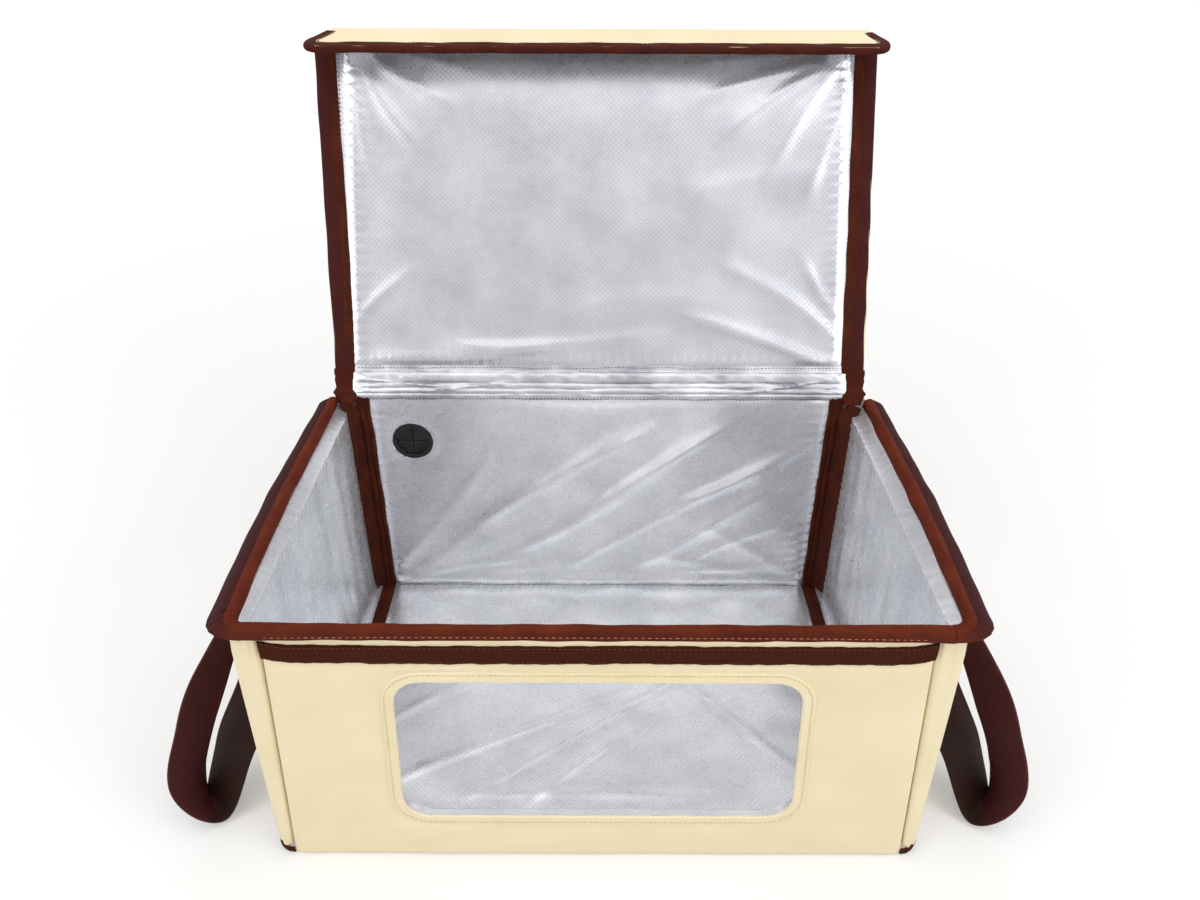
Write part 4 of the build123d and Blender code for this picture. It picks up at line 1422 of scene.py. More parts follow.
@dataclass
class FrontCorner(Assembly):
    """A soft front corner: the padded column, its bound foot and the rounded rim over it."""

    side: Side = Side.LEFT
    low: float = 3.0
    high: float = 203.3
    front_y: float = -145.8
    rear_y: float = -135.0
    corner_round: float = 10.0
    rim_centre: tuple[float, float] = (209.0, -131.0)

    def inner_x(self, z: Array | float) -> Array | float:
        """The column's edge beside the panel at a height."""
        return 213.9 - 13.0 * z / 202.6 + 0.8

    def section(self, z: float, pull: float = 0.0) -> Array:
        """The column's plan at a height, drawn in by a distance."""
        outer = float(np.interp(z, [0, 3, 9, 100, 203], [219.0, 222.5, 225.2, 223.6, 221.5]))
        x0, x1, front, rear = self.inner_x(z) + pull, outer - pull, self.front_y + pull, self.rear_y - pull
        corners = [(x0, rear, 1.5), (x0, front, 3.0), (x1, front, self.corner_round - pull), (x1, rear, 1.5)]
        reach = min(x1 - x0, 10.6)
        corners[2] = (*corners[2][:2], min(corners[2][2], reach - 3.2))
        corners[1] = (*corners[1][:2], min(3.0, reach - corners[2][2] - 0.1))
        return resampled(rounded(corners, True), 56, closed=True)

    def build(self) -> None:
        """Builds the column, the foot and the rim's corner."""
        sign, word = self.side.value, self.side.word
        seed = 80 + 9 * sign
        heights = np.concatenate([[self.low, 3.6, 5.0, 7.0], spaced(9.5, 200.0, 3.0), [202.0, self.high]])
        pulls = np.interp(heights, [self.low, 7.0, 20, 190, 203.3], [2.2, 0.4, 0.0, 0.0, 0.6])
        plan = np.stack([self.section(z, p) for z, p in zip(heights, pulls)])
        rings = np.concatenate([plan, np.broadcast_to(heights[:, None, None], (*plan.shape[:2], 1))], axis=2)
        turn = np.arange(plan.shape[1]) / plan.shape[1]
        dice = np.random.default_rng(seed)
        centre = rings.mean(axis=1, keepdims=True)
        spin = TAU * turn[None, :]
        gathers = sum(
            np.sin(spin * dice.integers(5, 13) + heights[:, None] / dice.uniform(14, 60) + dice.uniform(0, TAU))
            for _ in range(6)
        ) / 6
        ends = np.exp(-((heights - 203) / 26) ** 2) * 0.7 + np.exp(-((heights - 3) / 22) ** 2) * 0.9 + 0.18
        away = rings - centre
        away[..., 2] = 0
        away /= np.maximum(np.linalg.norm(away, axis=2, keepdims=True), 1e-6)
        rings = rings + away * (gathers * ends[:, None] * 0.9)[..., None]
        rings[..., 0] *= sign
        self.add(f"front_column_{word}", rings, CREAM)
        section = tape_section(5.2, 1.2, [(1.4, -0.3)])
        foot = rounded([(213.2, -145.9, 0), (223.9, -145.9, 7.6), (224.6, -135.2, 0)], False)
        line = Profile(resampled(foot, 40), -1)
        x, y = line.at(line.run, np.zeros(40))
        path = points_at(x * sign, y, 5.5 * smooth(line.run / 16))
        out = np.stack([-line.normals[:, 0] * sign, -line.normals[:, 1], np.zeros(40)], 1)
        rings = swept(path - out * 0.5, (0, 0, 1), out, section)
        self.add(f"corner_foot_tape_{word}", uneven(rings, seed + 1, 0.25, 12), DARK_TAPE)
        turns = np.linspace(0, math.pi / 2, 44)
        along = turns / turns[-1]
        sections = np.stack([rim_section(0.85 * smooth(t), 203.5, 0.7 * t)[0] for t in along])
        section, tone = rim_section(0.0, 203.5)
        loose = np.clip((sections[..., 1] - RIM_FOOT) / 4, 0, 1)
        tip = 1.6 * np.clip((sections[..., 0] - 15) / 9, 0, 1)
        spread = loose * float(rim_slide(-131, self.side)) + tip
        reach = 4.0 + sections[..., 0] + spread * (1 - smooth(along))[:, None]
        out = np.stack([sign * np.cos(turns), -np.sin(turns), 0 * turns], 1)
        rings = points_at(0.0, 0.0, sections[..., 1]) + out[:, None, :] * reach[..., None]
        rings += np.array([sign * self.rim_centre[0], self.rim_centre[1], 0.0])
        folds = np.sin(turns[:, None] * 26 + np.arange(len(section))[None, :] * 0.35)
        pinch = np.sin(turns * 2)[:, None] * folds
        rings[..., 2] += pinch * 0.35
        rings = rings + out[:, None, :] * (pinch * 0.3)[..., None]
        # painted shade on the rim's outer leg, fading as the rim turns towards the lit front
        fade = 1 - 0.65 * smooth(along)
        marks = {"outside": tone[None, :] * fade[:, None]}
        self.add(f"rim_corner_{word}_tape", rings, RUST_TAPE, marks=marks)

    def dress(self) -> None:
        """The soft corner's pieces ride on the base, each with a mesh of its own."""
        word = self.side.word
        for name, node in (
            (f"front_column_{word}", f"front_corner_{word}"),
            (f"corner_foot_tape_{word}", f"corner_foot_{word}"),
            (f"rim_corner_{word}_tape", f"rim_corner_{word}"),
        ):
            piece = self.settle(name, "base", node)
            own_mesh(piece)


@dataclass
class Lid(Assembly):
    """The open lid: foil inside, cream cloth outside, bound sides, and the soft hinge."""

    half: float = 223.3
    bound: float = 209.5
    start: float = 20.0
    tape_end: float = 285.0
    tape_edge: float = 224.8
    grid: float = 3.0

    def build(self) -> None:
        """Builds the lid's cloths, tapes and hinge."""
        self.build_foil()
        self.build_cloth()
        self.build_tapes()
        self.build_hinge()

    def build_foil(self) -> None:
        """The lining: creases run in from its top corners and along its foot."""
        relief = (
            Swell(101, 120, 1.2),
            Crumple(102, 70, 0.9, 70, 1.4),
            *fan((-208, 284.0), (120, -120), ((0.16, 4, 1.0), (0.5, 5, 1.1), (0.95, 5, 1.2), (1.35, 4, 1.0))),
            *fan(
                (208, 284.0), (-150, -150),
                ((0.14, 4, 1.0), (0.36, 4, 1.5), (0.62, 5, 1.8), (0.95, 6, 1.6), (1.3, 4, 1.1)),
            ),
            Crease((-200, 26), (-20, 42), 5, 1.8),
            Crease((-150, 40), (90, 46), 6, 2.4),
            Crease((208, 24), (40, 70), 4.5, 2.8),
            Crease((205, 40), (90, 120), 6, 2.2),
            Crease((-40, 66), (130, 80), 9, 1.6),
            Crease((60, 150), (205, 200), 10, 1.2),
            Crease((-203, 60), (-150, 110), 3, 1.0),
            Crease((203, 60), (160, 120), 3, 1.0),
            Puckers(-208, False, 12, 1.4, 9, 103),
            Puckers(201, False, 12, 1.6, 9, 104),
            Puckers(288, True, 10, 1.2, 8, 105),
            Puckers(20, True, 10, 1.2, 8, 106),
        )
        rows, columns = spaced(-219, 219, self.grid), spaced(self.start, LID_REACH - 0.5, self.grid)
        tapes = [(0, -226.0, -208.0), (0, 202.0, 226.0), (1, 10.0, 22.0)]
        lining = flat_sheet(rows, columns, relief, lambda a, b, h: on_lid(a, -h, b), 4, tapes=tapes)
        # painted light: the lining is lightened towards the lid's top, against the flap's shade there
        lit = -0.7 * smooth((columns - 205) / 60)
        self.add("lid_foil", lining, LID_FOIL, marks={"turned": both_ways(lit)})

    def build_cloth(self) -> None:
        """The outer cloth, turned down over the edges."""
        across = folded(
            [(-self.half, 1.0, 0), (-self.half, LID_THICK, 3.0), (self.half, LID_THICK, 3.0), (self.half, 1.0, 0)], -1
        )
        upward = folded(
            [(self.start, 1.0, 0), (self.start, LID_THICK, 3.0), (LID_REACH, LID_THICK, 3.0), (LID_REACH, 1.0, 0)], -1
        )
        aa, bb = np.meshgrid(spaced(0, across.length, 4.0), spaced(0, upward.length, 4.0), indexing="ij")
        lift = relief_of((Swell(107, 120, 1.6), Swell(108, 40, 0.3)), aa, bb)
        lift = lift * held_at(aa, bb, [(12, across.length - 12), (12, upward.length - 12)], 20)

        def draped(off: Array) -> Array:
            """Over the board's outer face and down its four edges."""
            x, drop_x = across.at(aa, np.minimum(off, 0))
            up, drop_up = upward.at(bb, np.minimum(off, 0))
            return on_lid(x, np.minimum(drop_x, drop_up) + np.maximum(off, 0), up)

        self.add("lid_cloth", both_faces(draped, lift), CREAM)

    def build_tapes(self) -> None:
        """The folded tape down each side, over both faces and the edge."""
        ups = spaced(17.0, self.tape_end, 3.0)
        for side in Side:
            wrap = rounded(
                [
                    (self.bound, 0.0, 0), (self.bound, -1.3, 0.8), (self.tape_edge, -1.3, 5.2),
                    (self.tape_edge, 10.3, 5.2), (self.bound, 10.3, 0.8), (self.bound, 9.0, 0)
                ],
                False,
            )
            section = resampled(wrap, 44)
            a, o = section[:, 0], section[:, 1]
            inner_face = o < 0.5
            groove = np.exp(-(((a - LID_GROOVE) / 0.7) ** 2)) - 1.1 * np.exp(-(((a - 217.0) / 1.3) ** 2))
            o = o + np.where(inner_face, 0.5 * groove, 0.0)
            left, right = (-1.3, 2.5, 8.6, -3.4, -1.5, 6.2), (-1.0, -0.4, 0.8, -6.0, -4.4, -3.4)
            lean = left if side is Side.LEFT else right
            outer = np.interp(ups, [17, 110, self.tape_end], lean[:3])[:, None]
            inner = np.interp(ups, [17, 110, self.tape_end], lean[3:])[:, None]
            wide = a + inner + (outer - inner) * (a - self.bound) / (self.tape_edge - self.bound)
            rings = on_lid(side.value * wide, o[None, :], ups[:, None])
            # painted shade: the tape darkens where it turns over the lid's edge
            tone = smooth((a - 214.5) / 1.2) * 0.55
            self.add(
                f"lid_side_tape_{side.word}", uneven(rings, 110 + side.value, 0.5, 60), BAR_TAPE,
                marks={"outside": tone}
            )

    def build_hinge(self) -> None:
        """The foil folds inside, the cloth outside, and the knots of tape at both ends."""
        axis_z = LID_AXIS[1]
        corner = on_lid(0.0, -0.2, 23.0)
        inside = folded([(134.6, 211.4, 0), (134.6, axis_z - 0.4, 2.0), (corner[1], corner[2], 0)], -1)
        folds = (
            Roll(0.9, 5.0, 1.3, 120), Roll(5.0, 9.4, 2.0, 126), Roll(9.2, 13.8, 1.8, 121), Roll(13.8, 23.4, 2.6, 122),
            Crease((-150, 7), (-60, 15), 1.1, 1.6), Crease((190, 15), (110, 6), 1.1, 1.6),
            Crease((-205, 18), (-120, 8), 1.0, 1.4),
        )
        aa, bb = np.meshgrid(spaced(-208, 208, 1.6), spaced(0, inside.length, 0.7), indexing="ij")
        ease = smooth((209 - np.abs(aa)) / 10)
        lift = (relief_of(folds, aa, bb) + Crumple(123, 17, 1.5, 70, 0.9).lift(aa, bb)) * ease
        sheet = both_faces(lambda off: points_at(aa, *inside.at(bb, off)), lift, 0.8)
        self.add("hinge_foil", sheet, HINGE_FOIL)
        top = on_lid(0.0, LID_THICK + 0.6, 34.0)
        outside = folded(
            [
                (OUTER_Y + 0.5, 198.0, 0), (OUTER_Y + 0.5, 211.0, 8.0), (top[1] - 6.0, top[2] - 13.0, 8.0),
                (top[1], top[2], 0)
            ],
            1
        )
        aa, bb = np.meshgrid(spaced(-221, 221, 4), spaced(0, outside.length, 2.0), indexing="ij")
        middle = smooth(bb / 8) * smooth((outside.length - bb) / 8)
        lift = (relief_of((Swell(124, 60, 1.4), Puckers(20, True, 12, 0.8, 9, 125)), aa, bb)) * middle
        sheet = both_faces(lambda off: points_at(aa, *outside.at(bb, off)), lift, 1.0)
        self.add("hinge_cloth", sheet, CREAM)
        for side in Side:
            self.add(f"hinge_knot_{side.word}", self.knot(side), BAR_TAPE)

    def knot(self, side: Side) -> Array:
        """The tape's folded end, bunched where the lid meets the rim."""
        guide = np.array(
            [
                (213.0, 132.2, 208.0), (213.6, 134.2, 212.0), (214.6, 138.0, 217.0), (215.0, 142.8, 224.5),
                (215.0, 147.0, 233.5)
            ]
        )
        count = 34
        run = np.linspace(0, len(guide) - 1, count)
        path = np.stack([np.interp(run, np.arange(len(guide)), guide[:, k]) for k in range(3)], 1)
        kernel = np.array([0.25, 0.5, 0.25])
        for _ in range(6):
            path[1:-1] = np.stack([np.convolve(path[:, k], kernel, "same") for k in range(3)], 1)[1:-1]
        ahead = headings(path)
        sideways = np.array([1.0, 0.0, 0.0])
        lift = np.cross(ahead, np.broadcast_to(sideways, ahead.shape))
        turn = np.linspace(0, TAU, 28, endpoint=False)
        share = run / run[-1]
        wide = 7.6 + 2.0 * np.exp(-(((share - 0.42) / 0.12) ** 2)) + 0.6 * smooth(share)
        deep = 3.4 + 1.2 * np.exp(-(((share - 0.42) / 0.14) ** 2))
        fold = 1 + 0.1 * np.sin(turn[None, :] * 5 + share[:, None] * 9)
        fold = fold + 0.06 * np.sin(turn[None, :] * 9 - share[:, None] * 17)
        rings = (
            path[:, None, :]
            + sideways * (np.cos(turn)[None, :] * wide[:, None] * fold)[..., None]
            + lift[:, None, :] * (np.sin(turn)[None, :] * deep[:, None] * fold)[..., None]
        )
        rings[..., 0] *= side.value
        return rings

    def dress(self) -> None:
        """The hinge's pieces stay where they are built; the rest rides on the lid."""
        self.lay("lid_foil", "lid", "lid_lining", (438, 269.5), "lid_board")
        self.lay("lid_cloth", "lid", "lid_cover", (461, 285), "lid_board")
        pair = ("base", "lid")
        low, high = (0, 137.0, 213.0), (0, 139.6, 218.5)
        self.bend("hinge_foil", pair, low, high, "lid_spine")
        self.bend("hinge_cloth", pair, (0, 141, 205), (0, 152, 229))
        for side in Side:
            self.settle(f"lid_side_tape_{side.word}", "lid", f"lid_binding_{side.word}")
            self.bend(f"hinge_knot_{side.word}", pair, (0, 137.0, 213.5), (0, 141.5, 224.0))


@dataclass
class LidFlap(Assembly):
    """The lid's hanging flap: one cloth over the lid's front edge, lining, bound edge, hook tape."""

    drop: float = FLAP_DROP
    root: float = 217.0
    edge: float = 232.0
    corner_round: float = 14.0
    thick: float = 3.2
    tape_width: float = 10.0
    tape_start: float = 6.0

    def half(self, down: Array) -> Array:
        """Half the flap's width at a distance from its hinge, with its corners rounded."""
        edge = self.outline()
        edge = edge[edge[:, 0] > 0]
        return np.where(down < self.tape_start, self.root, np.interp(down, edge[::-1, 1], edge[::-1, 0]) - 1.0)

    def outline(self) -> Array:
        """The flap's edge from its left root round to its right root, as (x, distance down)."""
        corners = [
            (-self.root - 1.7, self.tape_start, 0),
            (-self.edge, self.drop, self.corner_round),
            (self.edge, self.drop, self.corner_round),
            (self.root + 1.7, self.tape_start, 0),
        ]
        return resampled(rounded(corners, False), 240)

    def build(self) -> None:
        """Builds the cloths and tapes."""
        out, up = flap_to_lid(np.array([self.thick, self.thick]), np.array([0.0, self.drop - 0.8]))
        over = folded(
            [
                (LID_THICK + 0.7, LID_REACH - 14.0, 0), (LID_THICK + 0.7, up[0] + 0.3, 5.0), (out[0], up[0] + 0.3, 6.0),
                (out[1], up[1], 0)
            ],
            -1
        )
        shares, bb = np.meshgrid(np.linspace(-1, 1, 150), spaced(0, over.length, 2.0), indexing="ij")
        down = np.clip(bb - (over.length - self.drop), 0, self.drop - 0.8)
        wide = np.where(down > 0, self.half(down) - 0.8, self.root)
        waves = (Swell(131, 100, 1.2), Swell(132, 35, 0.3))
        x = shares * wide
        lift = relief_of(waves, x, bb) * smooth((wide - np.abs(x) - 8) / 12)
        lift = lift * smooth(bb / 10) * smooth((over.length - bb - 9) / 8)
        cloth = both_faces(lambda off: on_lid(eared(x, down), *over.at(bb, off)), lift)
        self.add("flap_cloth", cloth, CREAM)
        shares, down = np.meshgrid(np.linspace(-1, 1, 110), spaced(0.8, self.drop - 0.8, 3.0), indexing="ij")
        x = shares * (self.half(down) - 0.8)
        under = Swell(133, 60, 0.5).lift(x, down) * smooth((self.drop - down) / 10)
        self.add("flap_inner_cloth", closed_sheet(on_flap(x, -under, down), on_flap(x, 0.9, down)), FOIL)
        line = self.outline()
        ahead = headings(line)
        inward = np.stack([ahead[:, 1], -ahead[:, 0]], 1)
        wrap = rounded(
            [
                (self.tape_width, 0.4, 0), (self.tape_width, -1.3, 0.6), (-1.0, -1.3, 2.6), (-1.0, 4.5, 2.6),
                (self.tape_width, 4.5, 0.6), (self.tape_width, 2.8, 0)
            ],
            False
        )
        section = resampled(wrap, 36)
        a = section[:, 0]
        ridge = 0.35 * np.exp(-((a - 6.6) ** 2)) - 0.3 * np.exp(-(((a - 8.2) / 0.5) ** 2))
        t = section[:, 1] + np.sign(section[:, 1] - 1.6) * ridge
        spots = line[:, None, :] + inward[:, None, :] * section[None, :, :1]
        rings = on_flap(spots[..., 0], t, spots[..., 1])
        # painted shade: the tape darkens where it turns round the flap's edge
        tone = 0.25 * smooth((3 - section[:, 0]) / 3)
        self.add("flap_edge_tape", uneven(rings, 134, 0.4, 50), BAR_TAPE, marks={"outside": tone})
        x = spaced(-185, 185, 3)
        path = on_flap(x, -0.2, 16.0)
        down_way = on_flap(0.0, 0.0, 1.0) - on_flap(0.0, 0.0, 0.0)
        off_way = on_flap(0.0, -1.0, 0.0) - on_flap(0.0, 0.0, 0.0)
        rings = swept(path, down_way, off_way, tape_section(14.0, 1.4, [(1.4, -0.4), (12.6, -0.4)]))
        self.add("flap_hook_tape", uneven(rings, 135, 0.3, 30), HOOK_TAPE)

    def dress(self) -> None:
        """The outer cloth stays where it is built; the rest rides on the flap."""
        start, end = on_lid(0.0, 4.0, LID_REACH), on_lid(0.0, -4.0, LID_REACH)
        cloth = self.bend("flap_cloth", ("lid", "lid_flap"), start, end, "flap_cover")
        self.lay("flap_inner_cloth", "lid_flap", "flap_lining", (438, 41.4), "flap_board", "hung")
        self.settle("flap_edge_tape", "lid_flap", "flap_binding")
        self.settle("flap_hook_tape", "lid_flap", "hook_strip")


@dataclass
class Handle(Assembly):
    """A webbing loop: both ends sewn to the side wall, the loop turning over at its foot."""

    side: Side = Side.LEFT
    width: float = 38.0
    thick: float = 2.0
    top: float = 203.0
    root: tuple[float, float] = (-227.2, 55.0)
    guide: tuple[tuple[float, float, float, float], ...] = (
        (-227.2, -55, 190, 90),
        (-245, -61, 155, 62),
        (-268, -75, 118, 64),
        (-283, -98, 80, 64),
        (-293, -112, 39, 74),
        (-282, -109, 4, 130),
        (-265, -88, 48, 150),
        (-249, -46, 80, 180),
        (-246.5, -3, 112, 207),
        (-237.5, 36, 148, 241),
        (-227.2, 55, 190, 270),
    )

    def stations(self) -> Array:
        """The strap's middle line and heading at even shares, (rows, 4)."""
        knots = np.array([self.guide[0], *self.guide, self.guide[-1]], float)
        rows = []
        for i in range(len(self.guide) - 1):
            p, q, r, s = knots[i : i + 4]
            for t in np.linspace(0, 1, 16, endpoint=i == len(self.guide) - 2):
                bend = (2 * p - 5 * q + 4 * r - s) * t * t + (3 * q - p - 3 * r + s) * t**3
                rows.append((2 * q + (r - p) * t + bend) / 2)
        return np.array(rows)

    def build(self) -> None:
        """Builds the loop with its two sewn ends as one strap."""
        loop = self.stations()
        x0, y0 = self.root
        first = np.array([[x0 + 1.2, -y0, z, 90.0] for z in np.linspace(self.top, 193.0, 8)])
        last = np.array([[x0 + 1.2, y0, z, 270.0] for z in np.linspace(193.0, self.top, 8)])
        line = np.vstack([first, loop, last])
        ahead = headings(line[:, :3])
        heading = np.radians(line[:, 3])
        across = np.stack([np.cos(heading), np.sin(heading), 0 * heading], 1)
        across = unit(across - ahead * np.sum(across * ahead, axis=1)[:, None])
        off = np.cross(ahead, across)
        w, t = self.width / 2, self.thick / 2
        a = np.concatenate(
            [[-w], -w + np.array([0.15, 0.5]), np.linspace(-w + 1.2, w - 1.2, 15), w - np.array([0.5, 0.15]), [w]]
        )
        crown = t * (0.3 + 0.7 * np.sqrt(np.clip(1 - (1 - np.clip((w - np.abs(a)) / 1.0, 0, 1)) ** 2, 0, 1)))
        section = np.vstack([np.stack([a, crown], 1), np.stack([a, -crown], 1)[::-1]])
        rings = swept(line[:, :3], across, off, section)
        run = np.linspace(0, 1, len(line))[:, None]
        chevron = 0.035 * (1 - np.abs(section[:, 0]) / w)[None, :]
        # painted shade: the rear leg, past the turn at the strap's foot, takes the darker brown
        rear = smooth((run - 0.46 - chevron) / 0.02)
        rings[..., 0] *= -self.side.value
        self.add(
            f"{self.side.word}_strap", uneven(rings, 150 + self.side.value, 0.35, 90), PLUM_WEBBING,
            marks={"rear": rear}
        )

    def dress(self) -> None:
        """The strap stays where it is built, in place of the CAD handle and its tabs."""
        word = self.side.word
        strap = self.bend(
            f"{word}_strap", (f"{word}_wall", f"{word}_handle"), (0, 0, 195.0), (0, 0, 187.0),
            f"{word}_handle", f"{word}_handle_tab_front", f"{word}_handle_tab_rear",
        )
        log.info("%s strap has %d points", word, len(strap.data.vertices))


@dataclass
class Boards(Assembly):
    """The stiff boards of the CAD model, out of sight between the cloths."""

    nodes: tuple[str, ...] = (
        "back_board", "floor_board", "front_board", "front_skirt_board", "left_wall_board", "right_wall_board",
        "lid_board", "flap_board",
    )

    def dress(self) -> None:
        """Gives every board its foam."""
        for node in self.nodes:
            WHITE_FOAM.cover(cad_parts[node])


# --- stitches, by Geometry Nodes ---


@dataclass(frozen=True)
class Seam:
    """A row of stitches along lines on a surface."""

    name: str
    body: str
    lines: tuple[Array, ...]
    thread: Finish
    pitch: float = 3.6
    length: float = 2.6
    width: float = 0.75


@dataclass
class StitchTree:
    """The node tree that sews small thread pieces along a line."""

    name: str = "sewn_stitches"
    seed: int = 7
    inputs: tuple[tuple[str, str, float], ...] = (
        ("Pitch", "NodeSocketFloat", 0.0036),
        ("Stitch Length", "NodeSocketFloat", 0.0026),
        ("Thread Width", "NodeSocketFloat", 0.00075),
    )

    def tree(self) -> Any:
        """Builds the tree, or finds the one built before."""
        found = bpy.data.node_groups.get(self.name)
        if found:
            return found
        made = bpy.data.node_groups.new(self.name, "GeometryNodeTree")
        face = made.interface
        face.new_socket("Geometry", in_out="INPUT", socket_type="NodeSocketGeometry")
        for label, kind, value in self.inputs:
            face.new_socket(label, in_out="INPUT", socket_type=kind).default_value = value
        face.new_socket("Thread", in_out="INPUT", socket_type="NodeSocketMaterial")
        face.new_socket("Geometry", in_out="OUTPUT", socket_type="NodeSocketGeometry")
        given = add_node(made, "NodeGroupInput").outputs
        curve = add_node(made, "GeometryNodeMeshToCurve", {"Mesh": given["Geometry"]})
        even = add_node(made, "GeometryNodeResampleCurve", {"Curve": curve, "Length": given["Pitch"]}, mode="LENGTH")
        bead = add_node(made, "GeometryNodeMeshUVSphere", {"Segments": 8, "Rings": 5, "Radius": 0.5}).outputs["Mesh"]
        long, wide = given["Stitch Length"], given["Thread Width"]
        size = add_node(made, "CombineXYZ", {0: long, 1: wide, 2: wide})
        shaped = add_node(made, "GeometryNodeTransform", {"Geometry": bead, "Scale": size})
        tangent = add_node(made, "GeometryNodeInputTangent")
        turn = add_node(made, "FunctionNodeAlignRotationToVector", {"Vector": tangent}, axis="X")
        jitter = add_node(
            made, "FunctionNodeRandomValue", {2: 0.9, 3: 1.08, "Seed": self.seed}, data_type="FLOAT"
        ).outputs[1]
        links = {"Points": even, "Instance": shaped, "Rotation": turn, "Scale": jitter}
        placed = add_node(made, "GeometryNodeInstanceOnPoints", links)
        real = add_node(made, "GeometryNodeRealizeInstances", {0: placed})
        coloured = add_node(made, "GeometryNodeSetMaterial", {"Geometry": real, "Material": given["Thread"]})
        add_node(made, "NodeGroupOutput", {0: coloured})
        return made

    def sew(self, seam: Seam) -> bpy.types.Object:
        """Sews one seam and turns it into a plain mesh that rides on its body.

        Args:
            seam: the lines and the stitch's sizes.

        Returns:
            The stitches as one object.
        """
        points = np.vstack(seam.lines) * MM
        edges, start = [], 0
        for line in seam.lines:
            edges += [(start + i, start + i + 1) for i in range(len(line) - 1)]
            start += len(line)
        guide = bpy.data.meshes.new(f"{seam.name}_guide")
        guide.from_pydata(points.tolist(), edges, [])
        holder = in_scene(f"{seam.name}_guide", guide)
        tree = self.tree()
        modifier = holder.modifiers.new("stitches", "NODES")
        modifier.node_group = tree
        sizes = {
            "Pitch": seam.pitch * MM, "Stitch Length": seam.length * MM, "Thread Width": seam.width * MM,
            "Thread": seam.thread.material()
        }
        for item in tree.interface.items_tree:
            if item.item_type == "SOCKET" and item.in_out == "INPUT" and item.name in sizes:
                modifier[item.identifier] = sizes[item.name]
        bpy.context.view_layer.update()
        mesh = evaluated(holder)
        mesh.name = seam.name
        sewn = in_scene(seam.name, mesh)
        bpy.data.objects.remove(holder)
        seam.thread.cover(sewn)
        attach(sewn, seam.body)
        log.info("stitches: %s, %d faces", seam.name, len(mesh.polygons))
        return sewn


@dataclass
class Stitching:
    """All the seams that show their thread."""

    front: FrontWall
    flap: LidFlap

    def seams(self) -> list[Seam]:
        """Lays out every seam's lines on the built pieces."""
        x = spaced(-207, 207, 4)
        rim = points_at(x, -149.35 - 0.9 * smooth((np.abs(x) - 110) / 95), 208.0)
        window = resampled(rounded(window_grown(4.6), True), 260, closed=True)
        trim = points_at(window[:, 0], -148.15, window[:, 1])
        trim = np.vstack([trim, trim[:1]])
        strip_x = spaced(-199, 199, 4)
        bend = self.front.strip_bend(strip_x)
        low = points_at(strip_x, -148.5, self.front.strip_low + 1.4 + bend)
        high = points_at(strip_x, -148.5, self.front.strip_high - 1.4 + bend)
        line = self.flap.outline()
        ahead = headings(line)
        inset = line + np.stack([ahead[:, 1], -ahead[:, 0]], 1) * 8.2
        flap = on_flap(inset[:, 0], 4.25, inset[:, 1])
        ups = spaced(20, 284, 4)
        lid_lines = tuple(on_lid(s.value * LID_GROOVE, o, ups) for s in Side for o in (-1.0, 10.2))
        rows = [
            Seam("rim_stitches", "front_wall", (rim,), TAN_THREAD, 4.0, 2.6, 0.7),
            Seam("window_stitches", "front_wall", (trim,), CREAM_THREAD, 3.4, 2.3, 0.7),
            Seam("loop_tape_stitches", "front_wall", (low, high), BROWN_THREAD, 3.2, 2.2, 0.6),
            Seam("flap_stitches", "lid_flap", (flap,), BROWN_THREAD, 3.4, 2.4, 0.65),
            Seam("lid_tape_stitches", "lid", lid_lines, BROWN_THREAD, 3.4, 2.4, 0.65),
        ]
        across = spaced(-203, 203, 3)
        wander = 0.35 * np.sin(across / 21) + 0.3 * np.sin(across / 7.3)
        low, high = points_at(across, 133.9, 211.7 + wander), on_lid(across, -0.9, 21.2 + wander)
        rows.append(Seam("hinge_seam_low", "base", (low,), GREY_THREAD, 3.0, 2.0, 0.7))
        rows.append(Seam("hinge_seam_high", "lid", (high,), GREY_THREAD, 3.0, 2.0, 0.7))
        box_y = np.array([-15, 15, 15, -15, -15, 15])
        box_z = np.array([194.5, 194.5, 201.5, 201.5, 194.5, 201.5])
        for side in Side:
            boxes = tuple(points_at(side.value * 228.2, y0 + box_y, box_z) for y0 in (-55.0, 55.0))
            name, body = f"{side.word}_strap_stitches", f"{side.word}_wall"
            rows.append(Seam(name, body, boxes, BROWN_THREAD, 3.0, 2.2, 0.7))
        return rows

    def finished(self) -> None:
        """Sews every seam."""
        sewer = StitchTree()
        for seam in self.seams():
            sewer.sew(seam)


# --- studio ---


@dataclass(frozen=True)
class StudioFloor(Finish):
    """Smooth pale studio paper, brighter to the eye, and more so far off, so that it reads as white."""

    near_glow: float = 0.2
    far_glow: float = 0.52

    def pattern(self, tree: Any, shader: Any) -> None:
        """Faint paper grain, and a glow, less near the object, that only the camera and reflections see."""
        spot = add_node(tree, "TexCoord").outputs["Object"]
        grain = add_node(tree, "TexNoise", {"Vector": spot, "Scale": 1000 / 3, "Detail": 3})
        away = add_node(tree, "VectorMath", {0: spot}, operation="LENGTH").outputs["Value"]
        glow = add_node(tree, "MapRange", {0: away, 1: 0.5, 2: 2.5, 3: self.near_glow, 4: self.far_glow})
        wire(tree, shader, {
            "Normal": add_node(tree, "Bump", {"Height": grain, "Distance": 0.05 * MM, "Strength": 0.3}),
            "Emission Strength": add_node(tree, "Math", {0: seen_directly(tree), 1: glow}, operation="MULTIPLY"),
            "Emission Color": (1, 1, 1, 1), "Roughness": 0.9, "Specular IOR Level": 0.0,
        })


def seen_directly(tree: Any) -> Any:
    """One for rays that come from the camera, a mirror or glass, else zero; returns its last node."""
    path = add_node(tree, "LightPath").outputs
    first = add_node(tree, "Math", {0: path["Is Camera Ray"], 1: path["Is Glossy Ray"]}, operation="MAXIMUM")
    return add_node(tree, "Math", {0: first, 1: path["Is Transmission Ray"]}, operation="MAXIMUM")


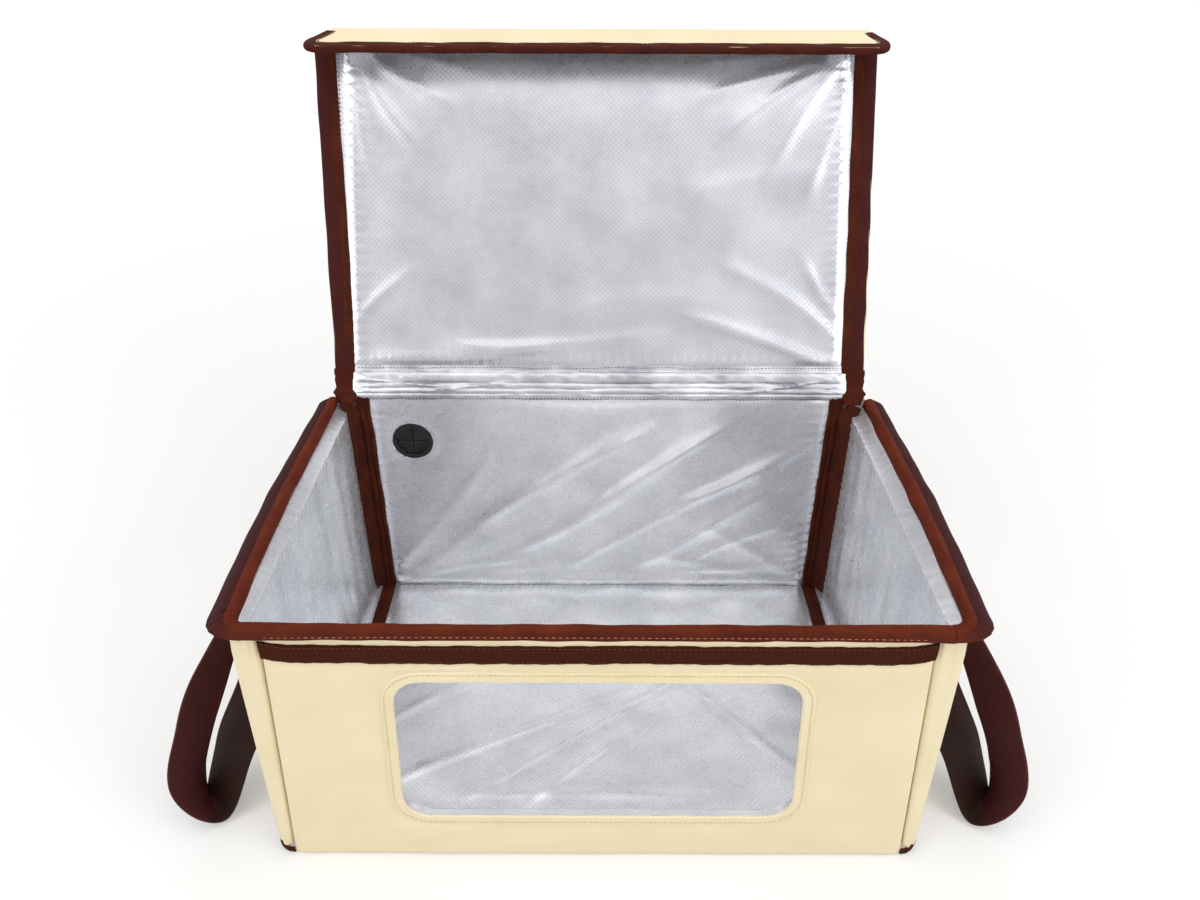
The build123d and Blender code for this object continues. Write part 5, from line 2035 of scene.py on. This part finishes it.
@dataclass
class Studio:
    """A pale floor, soft boxes, the world and the photograph's camera."""

    place: tuple[float, float, float] = (0.6, -545.3, 583.5)
    pitch_down: float = 31.86
    roll: float = 0.2
    lens: float = 27.45
    fill: float = 0.72

    def build(self) -> None:
        """Sets the whole studio up."""
        self.build_floor()
        self.build_world()
        self.build_lights()
        self.build_camera()

    def build_floor(self) -> None:
        """A wide level floor."""
        size = 60.0
        mesh = bpy.data.meshes.new("studio_floor")
        corners = [(x * size, y * size, -0.0005) for x, y in ((-1, -1), (1, -1), (1, 1), (-1, 1))]
        mesh.from_pydata(corners, [], [(0, 1, 2, 3)])
        floor = in_scene("studio_floor", mesh)
        floor.data.materials.append(StudioFloor("pale studio paper", "floor", "#E1E1E1").material())

    def build_world(self) -> None:
        """White to the eye; to cloth and foil a bright room with soft darker places."""
        world = bpy.data.worlds.new("studio_room")
        bpy.context.scene.world = world
        world.use_nodes = True
        tree = world.node_tree
        tree.nodes.clear()
        way = add_node(tree, "TexCoord").outputs["Generated"]
        patches = add_node(tree, "TexNoise", {"Vector": way, "Scale": 1.7, "Detail": 1.0})
        room = add_node(tree, "MapRange", {0: patches, 1: 0.36, 2: 0.64, 3: 0.72, 4: 1.2})
        seen = add_node(tree, "LightPath").outputs
        shiny = add_node(tree, "Mix", {0: seen["Is Glossy Ray"], 2: self.fill, 3: room})
        eye = add_node(tree, "Math", {0: seen["Is Camera Ray"], 1: seen["Is Transmission Ray"]}, operation="MAXIMUM")
        level = add_node(tree, "Mix", {0: eye, 2: shiny, 3: 1.0})
        back = add_node(tree, "Background", {"Color": (1, 1, 1, 1), "Strength": level})
        add_node(tree, "OutputWorld", {"Surface": back})

    def build_lights(self) -> None:
        """A large soft box above, one at each side in front."""
        boxes = (
            ("soft_box_above", (0.0, -0.25, 1.7), (1.9, 1.5), 8.6),
            ("soft_box_left", (-1.5, -1.1, 1.0), (1.2, 1.2), 8.8),
            ("soft_box_right", (1.5, -1.0, 1.0), (1.2, 1.2), 10.5),
        )
        for name, place, size, power in boxes:
            lamp = bpy.data.lights.new(name, "AREA")
            lamp.shape, lamp.size, lamp.size_y, lamp.energy = "RECTANGLE", *size, power
            box = in_scene(name, lamp)
            box.location = place
            box.rotation_euler = (Vector((0, 0, 0.15)) - Vector(place)).to_track_quat("-Z", "Y").to_euler()

    def build_camera(self) -> None:
        """The camera, fitted to the photograph's edges."""
        lens = bpy.data.cameras.new("photo_camera")
        lens.lens, lens.sensor_width, lens.sensor_fit = self.lens, 36.0, "HORIZONTAL"
        lens.clip_start, lens.clip_end = 0.01, 200.0
        eye = in_scene("photo_camera", lens)
        eye.location = [c * MM for c in self.place]
        turn = Euler((math.radians(90 - self.pitch_down), 0, 0)).to_matrix()
        eye.rotation_euler = (turn @ Matrix.Rotation(math.radians(self.roll), 3, "Z")).to_euler()
        bpy.context.scene.camera = eye
        bpy.context.scene.view_settings.view_transform = "Standard"


def clear_default_objects() -> None:
    """Removes what a factory start puts in the scene."""
    for name in ("Cube", "Light", "Camera"):
        if name in bpy.data.objects:
            bpy.data.objects.remove(bpy.data.objects[name])


def main() -> None:
    """Builds the proofer's looks round the frame."""
    logging.basicConfig(level=logging.INFO, format="%(message)s")
    clear_default_objects()
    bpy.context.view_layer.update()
    front, flap = FrontWall(), LidFlap()
    parts: list[Assembly] = [
        FloorPanel(), BackWall(), SideWall(side=Side.LEFT), SideWall(side=Side.RIGHT, turn=12.0), front,
        FrontCorner(side=Side.LEFT), FrontCorner(side=Side.RIGHT), Lid(), flap,
        Handle(side=Side.LEFT), Handle(side=Side.RIGHT), Boards(),
    ]
    for part in parts:
        part.finished()
    Stitching(front, flap).finished()
    Studio().build()


if __name__ == "__main__":
    main()
